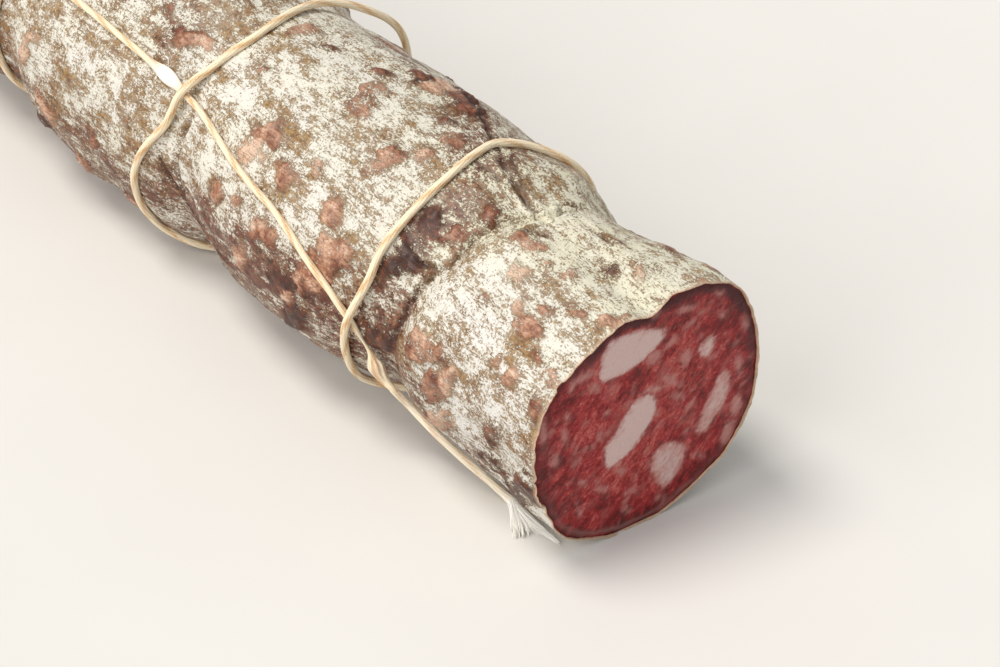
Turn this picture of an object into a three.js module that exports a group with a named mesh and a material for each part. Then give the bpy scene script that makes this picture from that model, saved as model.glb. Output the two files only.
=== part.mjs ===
import * as THREE from 'three';

// A cured salami with a mould-dusted natural casing, cut straight across at one end, and the twine that ties
// it. Millimetres. +X runs along the salami towards the cut, +Z is up, and it lies on the plane z = 0 with
// its near side towards -Y.

// Along the salami
const CUT_X = 141;
const CUT_SLANT = 2 * Math.PI / 180;
const CUT_PIVOT_Y = -12;
const CUT_BLEND = 24;
const DOME_X = -100;
const NECK_X = -132;
const TIP_X = -143;
const NECK_RADIUS = 4.6;
const TIP_RADIUS = 7;
const MEAN_RADIUS = 35;

// The swelling of the body between its ties, and how its middle line wanders: [x, value]
const BODY_RADIUS = [
  [-100, 34.6], [-80, 35.8], [-55, 36.6], [-30, 36.9], [-8, 36.4], [12, 36.0],
  [36, 36.7], [60, 35.9], [84, 34.6], [105, 33.6], [125, 33.5], [143, 33.5],
];
const MIDDLE_Y = [
  [-143, -5], [-100, -3.8], [-55, -2.6], [-9, -1], [15, 0.4], [51, 1], [96, 3.6], [143, 4.2],
];
const MIDDLE_Z = [[-143, 34.8], [-60, 34.8], [20, 34.7], [60, 34.5], [100, 33.7], [143, 33]];

// The waists that the twine pressed in while the meat was soft. The groove leans round the body: its place
// is x + lean * cos(angle - at), and it is deepest at the angle deepAt.
const WAISTS = [
  { x: 91.5, lean: 8.5, at: 50, depth: 3.2, uneven: 0.35, deepAt: 215, front: 5.2, widen: 0.45, back: 13 },
  { x: -0.5, lean: 5, at: 230, depth: 2.9, uneven: 0.45, deepAt: 265, front: 12, widen: 0, back: 6.5 },
  { x: -74, lean: 5, at: 120, depth: 2.9, uneven: 0.4, deepAt: 265, front: 8, widen: 0, back: 11 },
];
const WIDE_SPREAD = 40;

// How the outline at the cut departs from a circle: [angle, height, spread], angles from +Y up over the top
const CUT_OUTLINE = [
  [57, 3, 24], [94, -2.7, 8], [150, 0.9, 16], [198, -2.4, 18], [232, 0.9, 10], [298, -0.5, 14],
  [322, 0.8, 11], [358, -0.8, 22],
];
const CUT_OUTLINE_REACH = 30;

// The wobble and the lumps fade out over the rounded end
const FADE_FROM = DOME_X - 20;
const FADE_LENGTH = 30;

// Pieces of lard and meat that push the casing out
const LUMP_COUNT = 150;
const LUMP_SEED = 41;
const LUMP_FROM = -108;
const LUMP_TO = 142;
const LUMP_REACH = 3;
const GOLDEN_ANGLE = 137.508;

// Gathers of the casing round the tied end
const GATHERS = 12;
const GATHERS_FROM = DOME_X - 8;
const GATHER_DEPTH = 0.07;

// Twine
const TWINE = 2;
const GAP = 0.3;
const REST = TWINE / 2 + GAP;
const OVER = 3 * TWINE / 2 + 2 * GAP;
const PRESSED = 4.5;

// The steepest slope of the casing that a twine's lift follows
const STEEPEST = 8;

// Mesh fineness
const TWINE_SIDES = 8;
const AROUND = 56;
const COARSE_STEP = 4.8;
const FINE_STEP = 3.2;
const FINE_AT_WAIST = 16;
const FINE_AT_CUT = 8;
const DOME_STEPS = 11;
const TIP_STEPS = 4;
const RING_STEPS = 64;
const ROUTE_STEPS = 120;
const SLOPE_STEP = 0.25;

const rad = Math.PI / 180;

// A smooth curve through a table of [x, value]
function smooth(table, x) {
  const last = table.length - 1;
  const at = Math.min(Math.max(x, table[0][0]), table[last][0]);
  let i = 0;
  while (i < last - 1 && at >= table[i + 1][0]) i += 1;
  const slope = (k) => {
    const a = table[Math.max(k - 1, 0)];
    const b = table[Math.min(k + 1, last)];
    return (b[1] - a[1]) / (b[0] - a[0]);
  };
  const [x0, v0] = table[i];
  const [x1, v1] = table[i + 1];
  const h = x1 - x0;
  const s = (at - x0) / h;
  return (2 * s ** 3 - 3 * s ** 2 + 1) * v0 + (s ** 3 - 2 * s ** 2 + s) * h * slope(i)
    + (-2 * s ** 3 + 3 * s ** 2) * v1 + (s ** 3 - s ** 2) * h * slope(i + 1);
}

function clamp01(v) {
  return Math.min(Math.max(v, 0), 1);
}

// The difference of two angles in degrees, from -180 to 180
function turn(a, b) {
  return ((a - b + 180) % 360 + 360) % 360 - 180;
}

function hill(d, spread) {
  return Math.exp(-((d / spread) ** 2));
}

function onBody(x) {
  return clamp01((x - FADE_FROM) / FADE_LENGTH);
}

function profile(x) {
  if (x > DOME_X) return smooth(BODY_RADIUS, x);
  if (x > NECK_X) {
    const t = (DOME_X - x) / (DOME_X - NECK_X);
    return NECK_RADIUS + (BODY_RADIUS[0][1] - NECK_RADIUS) * (1 - t ** 2.3) ** 0.55;
  }
  const f = (NECK_X - x) / (NECK_X - TIP_X);
  return NECK_RADIUS + (TIP_RADIUS - NECK_RADIUS) * f ** 1.5;
}

function waistDepth(x, angle) {
  let depth = 0;
  for (const w of WAISTS) {
    const u = x - w.x - w.lean * Math.cos((angle - w.at) * rad);
    const front = w.front * (1 + w.widen * hill(turn(angle, w.deepAt), WIDE_SPREAD));
    const full = w.depth * (1 + w.uneven * Math.cos((angle - w.deepAt) * rad));
    depth += full * hill(u, u > 0 ? front : w.back);
  }
  return depth;
}

// The radius without the lumps, which the twine has pressed flat along its way
function smoothRadius(x, angle) {
  const near = hill(Math.max(CUT_X - x, 0), CUT_OUTLINE_REACH);
  const wobble = 0.5 * Math.sin(2 * angle * rad + x / 33) + 0.45 * Math.sin(3 * angle * rad - x / 21 + 1);
  let r = profile(x) + (1 - near) * onBody(x) * wobble;
  for (const [at, height, spread] of CUT_OUTLINE) r += near * height * hill(turn(angle, at), spread);
  return r - waistDepth(x, angle);
}

function random(seed) {
  let state = seed;
  return () => {
    state = (state * 16807) % 2147483647;
    return state / 2147483647;
  };
}

function makeLumps() {
  const next = random(LUMP_SEED);
  const lumps = [];
  for (let i = 0; i < LUMP_COUNT; i += 1) {
    const x = LUMP_FROM + (LUMP_TO - LUMP_FROM) * ((i + 0.5) / LUMP_COUNT) + 6 * (next() - 0.5);
    const angle = (i * GOLDEN_ANGLE + 40 * (next() - 0.5)) % 360;
    const size = 3.8 + 3.2 * next();
    const stretch = 1 + 0.7 * next();
    const height = 0.35 + 0.75 * next() ** 2;
    lumps.push({ x, angle, size, stretch, height });
  }
  return lumps;
}

const lumps = makeLumps();

function middle(x) {
  return [smooth(MIDDLE_Y, x), smooth(MIDDLE_Z, x)];
}

// Twine routes on the surface. Each point is [x, angle, lift of the twine's middle above the casing].
// The rings are slack: their far sides stand off the body, and each humps over the lengthwise twine.
const FRONT_RING = [
  [81.5, 0, 1.8], [81.5, 20, 2.6], [81.5, 33, 2.9], [81, 41, 2.9], [80, 48, 2.5], [78.5, 55, 1.8],
  [77, 63, 1.4], [75.8, 73, REST], [75.3, 80, REST], [76.3, 88, REST], [77.7, 99, REST], [78.6, 109, REST],
  [78.7, 125, REST], [77.8, 145, REST], [77.9, 157, 1.5], [77.2, 165, 2.2], [76.3, 172, 3.3],
  [75.4, 178, OVER], [74.5, 184, 3.4], [73.3, 192, 2.3], [71.7, 203, 1.7], [70.3, 214, 2], [69.3, 225, 2.4],
  [70.6, 233, 2.4], [75, 243, 1.9], [79.5, 255, 1.5], [82, 270, REST], [83, 290, REST], [82.5, 315, REST],
  [82, 340, 1.4],
];
const REAR_RING = [
  [5.2, 0, 3.2], [4.6, 18, 4.9], [4.1, 28, 5.2], [3.5, 36, 4.5], [2.3, 47, 3.1], [1.2, 57, 2.2],
  [0.6, 65, 1.6], [1.1, 74, REST], [2.9, 86, REST], [4.5, 98, REST], [5.1, 109, REST], [3.9, 120, REST],
  [3, 129, 1.6], [1.9, 136, 2.8], [0.9, 142, OVER], [0.1, 147, 3.5], [-0.9, 153, 2.3], [-2.2, 160, 1.4],
  [-5.8, 172, REST], [-9.5, 186, REST], [-11.5, 200, REST], [-12, 214, 1.4], [-10.6, 226, 1.6],
  [-5.8, 236, 1.5], [-1.5, 245, REST], [1.3, 256, REST], [2.2, 270, REST], [2.6, 290, REST], [3.5, 315, 1.4],
  [4.6, 340, 2],
];
const FAR_RING = [
  [-77, 0, 1.5], [-77.5, 30, 1.9], [-76.5, 55, 1.6], [-74.5, 75, REST], [-73.5, 95, REST], [-74, 115, REST],
  [-74.6, 126, 1.9], [-75, 133, 3.2], [-75.3, 139.5, OVER], [-75.6, 146, 3.2], [-76, 153, 1.9],
  [-77, 170, REST], [-78, 190, REST], [-78.3, 210, 1.5], [-78.5, 230, 1.4], [-78.5, 250, REST],
  [-78.5, 270, REST], [-78.3, 290, REST], [-77.8, 315, REST], [-77.3, 340, 1.4],
];
// The lengthwise twine starts with two turns round the neck and runs along the near side to its knob
const NECK_TURNS = 2;
const NECK_TURN_POINTS = 8;
const NECK_PITCH = TWINE + GAP;
const NECK_TURNS_END_X = -133.6;
const NECK_LIFT = 1.5;
const LENGTH_START_ANGLE = 141;
const LENGTHWISE = [
  [-131.6, 141, 2.3], [-130.2, 141, 2.1], [-127, 141, 1.5], [-121, 140.6, REST], [-112, 140.2, REST],
  [-98, 140, REST], [-84, 139.6, REST], [-70, 139.5, REST], [-54, 139.5, REST], [-38, 139.5, REST],
  [-24, 140, REST], [-13, 140.6, REST], [-6.6, 141.4, REST], [0.4, 143.6, REST], [10.4, 146, REST],
  [19, 149, REST], [29.7, 152.5, REST], [37.5, 154.2, REST], [45.4, 156, REST], [52.3, 159, REST],
  [58.7, 163, REST], [64.8, 167, REST], [69.7, 171.2, REST], [74.2, 177.6, REST], [76.3, 185.5, REST],
  [77.8, 193, 1.6], [79.4, 198, 2.1], [82.5, 201, 2.7], [85.7, 203.8, 3.1],
];
// Where its strands lie open and flat, just behind the rear ring, and the thick twisted knob at its end
const OPEN_AT = -6.5;
const OPEN_REACH = 4;
const OPEN_WIDER = 1.2;
const OPEN_THINNER = 0.3;
const KNOB_AT = 82;
const KNOB_REACH = 3.2;
const KNOB_THICKER = 0.75;

// The free tail runs from the knob down past the near side to the plane z = 0
const TAIL = [
  [86.6, -27.4, 19.3], [88.1, -25.6, 16.4], [89.8, -24.3, 13.9], [92.2, -23.6, 12.1], [95.5, -23.2, 10.7],
  [100.3, -21.6, 8.8], [104.8, -19.7, 6.5], [108.8, -17.8, 4.4], [112.2, -16.6, 2.9], [115.4, -16, 1.9],
  [118.4, -15.7, 1.4],
];
const TAIL_STEPS = 18;
const TAIL_WIDTH = 2.3;

// The tail leans on the body here
const LEAN_X = 97;
const LEAN_ANGLE = 218;
const LEAN_REACH = 11;

// The frayed end lies flat: its outline from above, thick at the twine and thin at the tips
const FRAY_OUTLINE = [
  [118.8, -14.6], [118.9, -16.7], [121.6, -17.9], [124.3, -20.2], [126.9, -21.1], [126.2, -19.6],
  [128.6, -19.6], [127.9, -18.1], [131.3, -17.5], [130.6, -16.6], [133.6, -16.3], [137.2, -15.4],
  [131.4, -15.3], [124.5, -14.6],
];
const FRAY_BOTTOM = 0.2;
const FRAY_THICK = 2;
const FRAY_THIN = 0.6;

// Points of a route, smoothed by a uniform Catmull-Rom curve
function routeCurve(points, closed) {
  const vectors = points.map((p) => new THREE.Vector3(p[0], p[1], p[2]));
  return new THREE.CatmullRomCurve3(vectors, closed, 'catmullrom', 0.5);
}

// A ring's route as functions of the angle
function ringAt(points, angle) {
  const table = [];
  for (const shift of [-360, 0, 360]) {
    for (const [x, a, lift] of points) table.push([a + shift, x, lift]);
  }
  const pick = (column) => smooth(table.map((row) => [row[0], row[column]]), angle);
  return [pick(1), pick(2)];
}

const RINGS = { twine_ring_front: FRONT_RING, twine_ring_rear: REAR_RING, twine_ring_far: FAR_RING };

function routeTable(points, steps) {
  const curve = routeCurve(points, false);
  const table = [];
  for (let i = 0; i <= steps; i += 1) {
    const p = curve.getPoint(i / steps);
    table.push([p.x, p.y]);
  }
  return table;
}

const lengthwiseAngles = routeTable(LENGTHWISE, ROUTE_STEPS);
const lengthwiseEnd = LENGTHWISE[LENGTHWISE.length - 1][0];

// 0 under a twine, 1 well away from all of them
function freeOfTwine(x, angle) {
  let free = 1;
  for (const points of Object.values(RINGS)) {
    const [ringX, lift] = ringAt(points, turn(angle, 180) + 180);
    const touch = hill(Math.max(lift - OVER, 0), 1);
    free *= 1 - touch * hill(x - ringX, PRESSED);
  }
  const along = smooth(lengthwiseAngles, x);
  const reach = x < lengthwiseEnd + PRESSED ? 1 : 0;
  free *= 1 - reach * hill(turn(angle, along) * rad * profile(x), PRESSED);
  free *= 1 - hill(x - LEAN_X, LEAN_REACH) * hill(turn(angle, LEAN_ANGLE) * rad * profile(x), 2 * PRESSED);
  return free;
}

function lumpHeight(x, angle) {
  let h = 0;
  for (const lump of lumps) {
    const du = (x - lump.x) / (lump.size * lump.stretch);
    const dv = turn(angle, lump.angle) * rad * MEAN_RADIUS / lump.size;
    const close = Math.max(Math.abs(du), Math.abs(dv)) < LUMP_REACH;
    if (close) h += lump.height * Math.exp(-du * du - dv * dv);
  }
  return h * onBody(x);
}

// Gathered folds that deepen towards the neck
function gathers(x, angle) {
  const g = clamp01((GATHERS_FROM - x) / (GATHERS_FROM - NECK_X));
  return profile(x) * GATHER_DEPTH * g * Math.cos(GATHERS * angle * rad);
}

function bodyPoint(x, angle) {
  const [cy, cz] = middle(x);
  const r = smoothRadius(x, angle) + (lumpHeight(x, angle) + gathers(x, angle)) * freeOfTwine(x, angle);
  const y = cy + r * Math.cos(angle * rad);
  const z = Math.max(cz + r * Math.sin(angle * rad), 0);
  const atCut = clamp01(1 - (CUT_X - x) / CUT_BLEND);
  return [x + atCut * (y - CUT_PIVOT_Y) * Math.tan(CUT_SLANT), y, z];
}

// A point at a height above the smooth casing, and the direction away from it
function overCasing(x, angle, lift) {
  const onNeck = x < NECK_X;
  const r = onNeck ? profile(x) : smoothRadius(x, angle);
  const rise = smoothRadius(x + SLOPE_STEP, angle) - smoothRadius(x - SLOPE_STEP, angle);
  const slope = onNeck ? 0 : Math.max(Math.min(rise / (2 * SLOPE_STEP), STEEPEST), -STEEPEST);
  const out = new THREE.Vector3(-slope, Math.cos(angle * rad), Math.sin(angle * rad)).normalize();
  const [cy, cz] = middle(x);
  const point = new THREE.Vector3(x, cy + r * Math.cos(angle * rad), cz + r * Math.sin(angle * rad));
  return { point: point.addScaledVector(out, lift), out };
}

function makeMesh(name, positions, triangles, material) {
  const geometry = new THREE.BufferGeometry();
  geometry.setAttribute('position', new THREE.Float32BufferAttribute(positions.flat(), 3));
  geometry.setIndex(triangles.flat());
  geometry.computeVertexNormals();
  const mesh = new THREE.Mesh(geometry, material);
  mesh.name = name;
  return mesh;
}

// Joins rows of points into a skin. Each row runs once round, and the ends are capped or meet.
function skin(rows, closed) {
  const count = rows[0].length;
  const positions = rows.flat();
  const triangles = [];
  const bands = closed ? rows.length : rows.length - 1;
  for (let i = 0; i < bands; i += 1) {
    const next = (i + 1) % rows.length;
    for (let j = 0; j < count; j += 1) {
      const k = (j + 1) % count;
      const a = i * count + j;
      const b = i * count + k;
      const c = next * count + k;
      const d = next * count + j;
      triangles.push([a, b, d], [b, c, d]);
    }
  }
  if (!closed) {
    for (const end of [0, rows.length - 1]) {
      const row = rows[end];
      const centre = [0, 1, 2].map((axis) => row.reduce((sum, p) => sum + p[axis], 0) / count);
      positions.push(centre);
      for (let j = 0; j < count; j += 1) {
        const a = end * count + j;
        const b = end * count + (j + 1) % count;
        triangles.push(end === 0 ? [positions.length - 1, b, a] : [positions.length - 1, a, b]);
      }
    }
  }
  return { positions, triangles };
}

// Body stations, closer together at the waists, with cosine spacing on the rounded end
function stations() {
  const list = [];
  for (let i = 0; i <= TIP_STEPS; i += 1) list.push(TIP_X + (NECK_X - TIP_X) * i / TIP_STEPS);
  for (let i = 1; i <= DOME_STEPS; i += 1) {
    list.push(DOME_X - (DOME_X - NECK_X) * Math.cos(i / DOME_STEPS * Math.PI / 2));
  }
  let x = DOME_X;
  while (x < CUT_X - FINE_STEP) {
    const here = x;
    const close = WAISTS.some((w) => Math.abs(here - w.x) < FINE_AT_WAIST) || CUT_X - here < FINE_AT_CUT;
    x += close ? FINE_STEP : COARSE_STEP;
    if (x < CUT_X - 1) list.push(x);
  }
  list.push(CUT_X);
  return list;
}

function makeBody(material) {
  const rows = stations().map((x) => {
    const row = [];
    for (let j = 0; j < AROUND; j += 1) row.push(bodyPoint(x, j * 360 / AROUND));
    return row;
  });
  const { positions, triangles } = skin(rows, false);
  return makeMesh('salami', positions, triangles, material);
}

// A strand swept along points that each carry the direction away from the casing
function makeStrand(name, path, sizeAt, closed, material) {
  const count = path.length;
  const rows = path.map((here, i) => {
    const before = path[closed ? (i + count - 1) % count : Math.max(i - 1, 0)].point;
    const after = path[closed ? (i + 1) % count : Math.min(i + 1, count - 1)].point;
    const along = new THREE.Vector3().subVectors(after, before).normalize();
    const side = new THREE.Vector3().crossVectors(here.out, along).normalize();
    const out = new THREE.Vector3().crossVectors(along, side).normalize();
    const [halfWidth, halfHeight] = sizeAt(here.point, i);
    const row = [];
    for (let j = 0; j < TWINE_SIDES; j += 1) {
      const angle = (j + 0.5) / TWINE_SIDES * 2 * Math.PI;
      const p = here.point.clone();
      p.addScaledVector(side, halfWidth * Math.cos(angle)).addScaledVector(out, halfHeight * Math.sin(angle));
      row.push([p.x, p.y, p.z]);
    }
    return row;
  });
  const { positions, triangles } = skin(rows, closed);
  return makeMesh(name, positions, triangles, material);
}

function makeRing(name, points, material) {
  const path = [];
  for (let i = 0; i < RING_STEPS; i += 1) {
    const angle = i * 360 / RING_STEPS;
    const [x, lift] = ringAt(points, angle);
    path.push(overCasing(x, angle, lift));
  }
  return makeStrand(name, path, () => [TWINE / 2, TWINE / 2], true, material);
}

function makeLengthwise(material) {
  const turns = [];
  const pieces = NECK_TURNS * NECK_TURN_POINTS;
  for (let i = 0; i < pieces; i += 1) {
    const back = 1 - i / pieces;
    const x = NECK_TURNS_END_X - NECK_PITCH * NECK_TURNS * back;
    turns.push([x, LENGTH_START_ANGLE + 360 * NECK_TURNS * back, NECK_LIFT]);
  }
  const curve = routeCurve([...turns, ...LENGTHWISE], false);
  const steps = (turns.length + LENGTHWISE.length - 1) * 2;
  const path = [];
  for (let i = 0; i <= steps; i += 1) {
    const p = curve.getPoint(i / steps);
    path.push(overCasing(p.x, p.y, p.z));
  }
  const sizeAt = (p) => {
    const open = hill(p.x - OPEN_AT, OPEN_REACH);
    const knob = 1 + KNOB_THICKER * hill(p.x - KNOB_AT, KNOB_REACH);
    return [(TWINE / 2 + OPEN_WIDER * open) * knob, (TWINE / 2 - OPEN_THINNER * open) * knob];
  };
  return makeStrand('twine_lengthwise', path, sizeAt, false, material);
}

function makeTail(material) {
  const curve = routeCurve(TAIL, false);
  const path = [];
  for (let i = 0; i <= TAIL_STEPS; i += 1) {
    const point = curve.getPoint(i / TAIL_STEPS);
    path.push({ point, out: new THREE.Vector3(0, -0.5, 1).normalize() });
  }
  return makeStrand('twine_tail', path, () => [TAIL_WIDTH / 2, TWINE / 2], false, material);
}

function makeFrayedEnd(material) {
  const shape = new THREE.Shape(FRAY_OUTLINE.map(([x, y]) => new THREE.Vector2(x, y)));
  const geometry = new THREE.ExtrudeGeometry(shape, { depth: 1, bevelEnabled: false });
  const position = geometry.attributes.position;
  const from = FRAY_OUTLINE[0][0];
  const to = Math.max(...FRAY_OUTLINE.map((p) => p[0]));
  for (let i = 0; i < position.count; i += 1) {
    const along = clamp01((position.getX(i) - from) / (to - from));
    const thick = FRAY_THICK + (FRAY_THIN - FRAY_THICK) * Math.sqrt(along);
    position.setZ(i, FRAY_BOTTOM + position.getZ(i) * thick);
  }
  const mesh = new THREE.Mesh(geometry, material);
  mesh.name = 'twine_frayed_end';
  return mesh;
}

const casing = new THREE.MeshStandardMaterial({ color: 0xb39c89, roughness: 0.9, metalness: 0 });
const twine = new THREE.MeshStandardMaterial({ color: 0xdcc49c, roughness: 0.8, metalness: 0 });
const frayedTwine = new THREE.MeshStandardMaterial({ color: 0xece4d4, roughness: 0.95, metalness: 0 });

const salami = new THREE.Group();
salami.add(makeBody(casing));
for (const [name, points] of Object.entries(RINGS)) salami.add(makeRing(name, points, twine));
salami.add(makeLengthwise(twine));
salami.add(makeTail(twine));
salami.add(makeFrayedEnd(frayedTwine));

export default salami;
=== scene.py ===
import math

import bpy
import numpy as np
from mathutils import Matrix, Vector


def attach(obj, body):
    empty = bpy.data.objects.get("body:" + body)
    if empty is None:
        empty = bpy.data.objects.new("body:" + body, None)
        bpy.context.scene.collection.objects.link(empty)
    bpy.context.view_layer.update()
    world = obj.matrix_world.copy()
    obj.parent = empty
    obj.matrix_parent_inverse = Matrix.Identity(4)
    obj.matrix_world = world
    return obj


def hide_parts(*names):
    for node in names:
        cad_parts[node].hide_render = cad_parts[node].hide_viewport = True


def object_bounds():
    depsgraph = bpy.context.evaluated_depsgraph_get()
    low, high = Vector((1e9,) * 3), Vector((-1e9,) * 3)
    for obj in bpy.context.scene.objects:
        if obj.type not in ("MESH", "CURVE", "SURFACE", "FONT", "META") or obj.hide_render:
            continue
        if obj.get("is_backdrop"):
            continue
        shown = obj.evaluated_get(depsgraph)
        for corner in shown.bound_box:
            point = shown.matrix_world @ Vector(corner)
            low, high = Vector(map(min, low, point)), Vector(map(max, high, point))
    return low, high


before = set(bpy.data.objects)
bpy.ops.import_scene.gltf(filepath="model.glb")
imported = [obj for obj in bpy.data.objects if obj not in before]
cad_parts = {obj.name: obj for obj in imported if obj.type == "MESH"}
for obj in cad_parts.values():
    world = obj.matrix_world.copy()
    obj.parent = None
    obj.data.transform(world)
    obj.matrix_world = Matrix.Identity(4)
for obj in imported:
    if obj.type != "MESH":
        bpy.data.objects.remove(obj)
cad_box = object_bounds()

# The salami is laid out in millimetres, in the frame of the solids: +X along it towards the cut, +Z up, its
# near side towards -Y, lying on z = 0. Blender's pieces are in metres.
MM = 0.001

# Along the salami
CUT_X = 141
CUT_SLANT = math.radians(2)
CUT_PIVOT_Y = -12
CUT_BLEND = 24
DOME_X = -100
NECK_X = -132
TIP_X = -143
NECK_RADIUS = 4.6
TIP_RADIUS = 7
MEAN_RADIUS = 35
DOME_POWERS = (2.3, 0.55)
FLARE_POWER = 1.5

BODY_RADIUS = [
    (-100, 34.6), (-80, 35.8), (-55, 36.6), (-30, 36.9), (-8, 36.4), (12, 36.0),
    (36, 36.7), (60, 35.9), (84, 34.6), (105, 33.6), (125, 33.5), (143, 33.5),
]
MIDDLE_Y = [(-143, -5), (-100, -3.8), (-55, -2.6), (-9, -1), (15, 0.4), (51, 1), (96, 3.6), (143, 4.2)]
MIDDLE_Z = [(-143, 34.8), (-60, 34.8), (20, 34.7), (60, 34.5), (100, 33.7), (143, 33)]

# The waists that the twine pressed in while the meat was soft
WAISTS = [
    dict(x=91.5, lean=8.5, at=50, depth=3.2, uneven=0.35, deep_at=215, front=5.2, widen=0.45, back=13),
    dict(x=-0.5, lean=5, at=230, depth=2.9, uneven=0.45, deep_at=265, front=12, widen=0, back=6.5),
    dict(x=-74, lean=5, at=120, depth=2.9, uneven=0.4, deep_at=265, front=8, widen=0, back=11),
]
WIDE_SPREAD = 40

# How the outline at the cut departs from a circle: (angle, height, spread)
CUT_OUTLINE = [
    (57, 3, 24), (94, -2.7, 8), (150, 0.9, 16), (198, -2.4, 18), (232, 0.9, 10), (298, -0.5, 14),
    (322, 0.8, 11), (358, -0.8, 22),
]
CUT_OUTLINE_REACH = 30

# How the rest of it does: (waves round it, height, x in which they turn by a radian, start)
WOBBLE = [(2, 0.5, 33, 0), (3, 0.45, -21, 1)]
FADE_FROM = DOME_X - 20
FADE_LENGTH = 30

# Pieces of lard and meat that push the casing out
LUMP_COUNT = 150
LUMP_SEED = 41
LUMP_FROM = -108
LUMP_TO = 142
LUMP_SHIFT = 6
LUMP_TURN = 40
# What each lump has at least, and what chance adds to it
LUMP_SIZE = (3.8, 3.2)
LUMP_STRETCH = (1, 0.7)
LUMP_HEIGHT = (0.35, 0.75)
GOLDEN_ANGLE = 137.508

GATHERS = 12
GATHERS_FROM = DOME_X - 8
GATHER_DEPTH = 0.07

# Twine. Here it is pressed into the casing, where the solids keep a gap
TWINE = 2
PRESSED = 4.5
SUNK = 0.45
SUNK_MORE = 0.3
SUNK_MORE_FROM = 1.6
REST = 1.3
OVER = 3.6
STEEPEST = 8
SLOPE_STEP = 0.25

FRONT_RING = [
    (81.5, 0, 1.8), (81.5, 20, 2.6), (81.5, 33, 2.9), (81, 41, 2.9), (80, 48, 2.5), (78.5, 55, 1.8),
    (77, 63, 1.4), (75.8, 73, REST), (75.3, 80, REST), (76.3, 88, REST), (77.7, 99, REST), (78.6, 109, REST),
    (78.7, 125, REST), (77.8, 145, REST), (77.9, 157, 1.5), (77.2, 165, 2.2), (76.3, 172, 3.3),
    (75.4, 178, OVER), (74.5, 184, 3.4), (73.3, 192, 2.3), (71.7, 203, 1.7), (70.3, 214, 2), (69.3, 225, 2.4),
    (70.6, 233, 2.4), (75, 243, 1.9), (79.5, 255, 1.5), (82, 270, REST), (83, 290, REST), (82.5, 315, REST),
    (82, 340, 1.4),
]
REAR_RING = [
    (5.2, 0, 3.2), (4.6, 18, 4.9), (4.1, 28, 5.2), (3.5, 36, 4.5), (2.3, 47, 3.1), (1.2, 57, 2.2),
    (0.6, 65, 1.6), (1.1, 74, REST), (2.9, 86, REST), (4.5, 98, REST), (5.1, 109, REST), (3.9, 120, REST),
    (3, 129, 1.6), (1.9, 136, 2.8), (0.9, 142, OVER), (0.1, 147, 3.5), (-0.9, 153, 2.3), (-2.2, 160, 1.4),
    (-5.8, 172, REST), (-9.5, 186, REST), (-11.5, 200, REST), (-12, 214, 1.4), (-10.6, 226, 1.6),
    (-5.8, 236, 1.5), (-1.5, 245, REST), (1.3, 256, REST), (2.2, 270, REST), (2.6, 290, REST),
    (3.5, 315, 1.4), (4.6, 340, 2),
]
FAR_RING = [
    (-77, 0, 1.5), (-77.5, 30, 1.9), (-76.5, 55, 1.6), (-74.5, 75, REST), (-73.5, 95, REST),
    (-74, 115, REST), (-74.6, 126, 1.9), (-75, 133, 3.2), (-75.3, 139.5, OVER), (-75.6, 146, 3.2),
    (-76, 153, 1.9), (-77, 170, REST), (-78, 190, REST), (-78.3, 210, 1.5), (-78.5, 230, 1.4),
    (-78.5, 250, REST), (-78.5, 270, REST), (-78.3, 290, REST), (-77.8, 315, REST), (-77.3, 340, 1.4),
]
RINGS = {"twine_ring_front": FRONT_RING, "twine_ring_rear": REAR_RING, "twine_ring_far": FAR_RING}

NECK_TURNS = 2
NECK_TURN_POINTS = 8
NECK_PITCH = 2.3
NECK_TURNS_END_X = -133.6
NECK_LIFT = 1.5
LENGTH_START_ANGLE = 141
LENGTHWISE = [
    (-131.6, 141, 2.3), (-130.2, 141, 2.1), (-127, 141, 1.5), (-121, 140.6, REST), (-112, 140.2, REST),
    (-98, 140, REST), (-84, 139.6, REST), (-70, 139.5, REST), (-54, 139.5, REST), (-38, 139.5, REST),
    (-24, 140, REST), (-13, 140.6, REST), (-6.6, 141.4, REST), (0.4, 143.6, REST), (10.4, 146, REST),
    (19, 149, REST), (29.7, 152.5, REST), (37.5, 154.2, REST), (45.4, 156, REST), (52.3, 159, REST),
    (58.7, 163, REST), (64.8, 167, REST), (69.7, 171.2, REST), (74.2, 177.6, REST), (76.3, 185.5, REST),
    (77.8, 193, 1.6), (79.4, 198, 2.1), (82.5, 201, 2.7), (85.7, 203.8, 3.1),
]
OPEN_AT = -6.5
OPEN_REACH = 4
OPEN_WIDER = 1.2
OPEN_THINNER = 0.3
KNOB_THICKER = 0.75
LENGTHWISE_GUIDE = 120

TAIL_WIDTH = 2.3
LEAN_X = 97
LEAN_ANGLE = 218
LEAN_REACH = 11


# The camera, which looks down at the cut from the near side
CAMERA_PLACE = (0.52151, -0.36649, 0.47156)
CAMERA_AZIMUTH = 49.5
CAMERA_ELEVATION = 38.2
CAMERA_ROLL = 3.76
CAMERA_LENS = 108
CAMERA_SENSOR = 36
CAMERA_FAR = 20


def put(name, data):
    """A new object in the scene, at the origin"""
    made = bpy.data.objects.new(name, data)
    bpy.context.scene.collection.objects.link(made)
    return made


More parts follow.
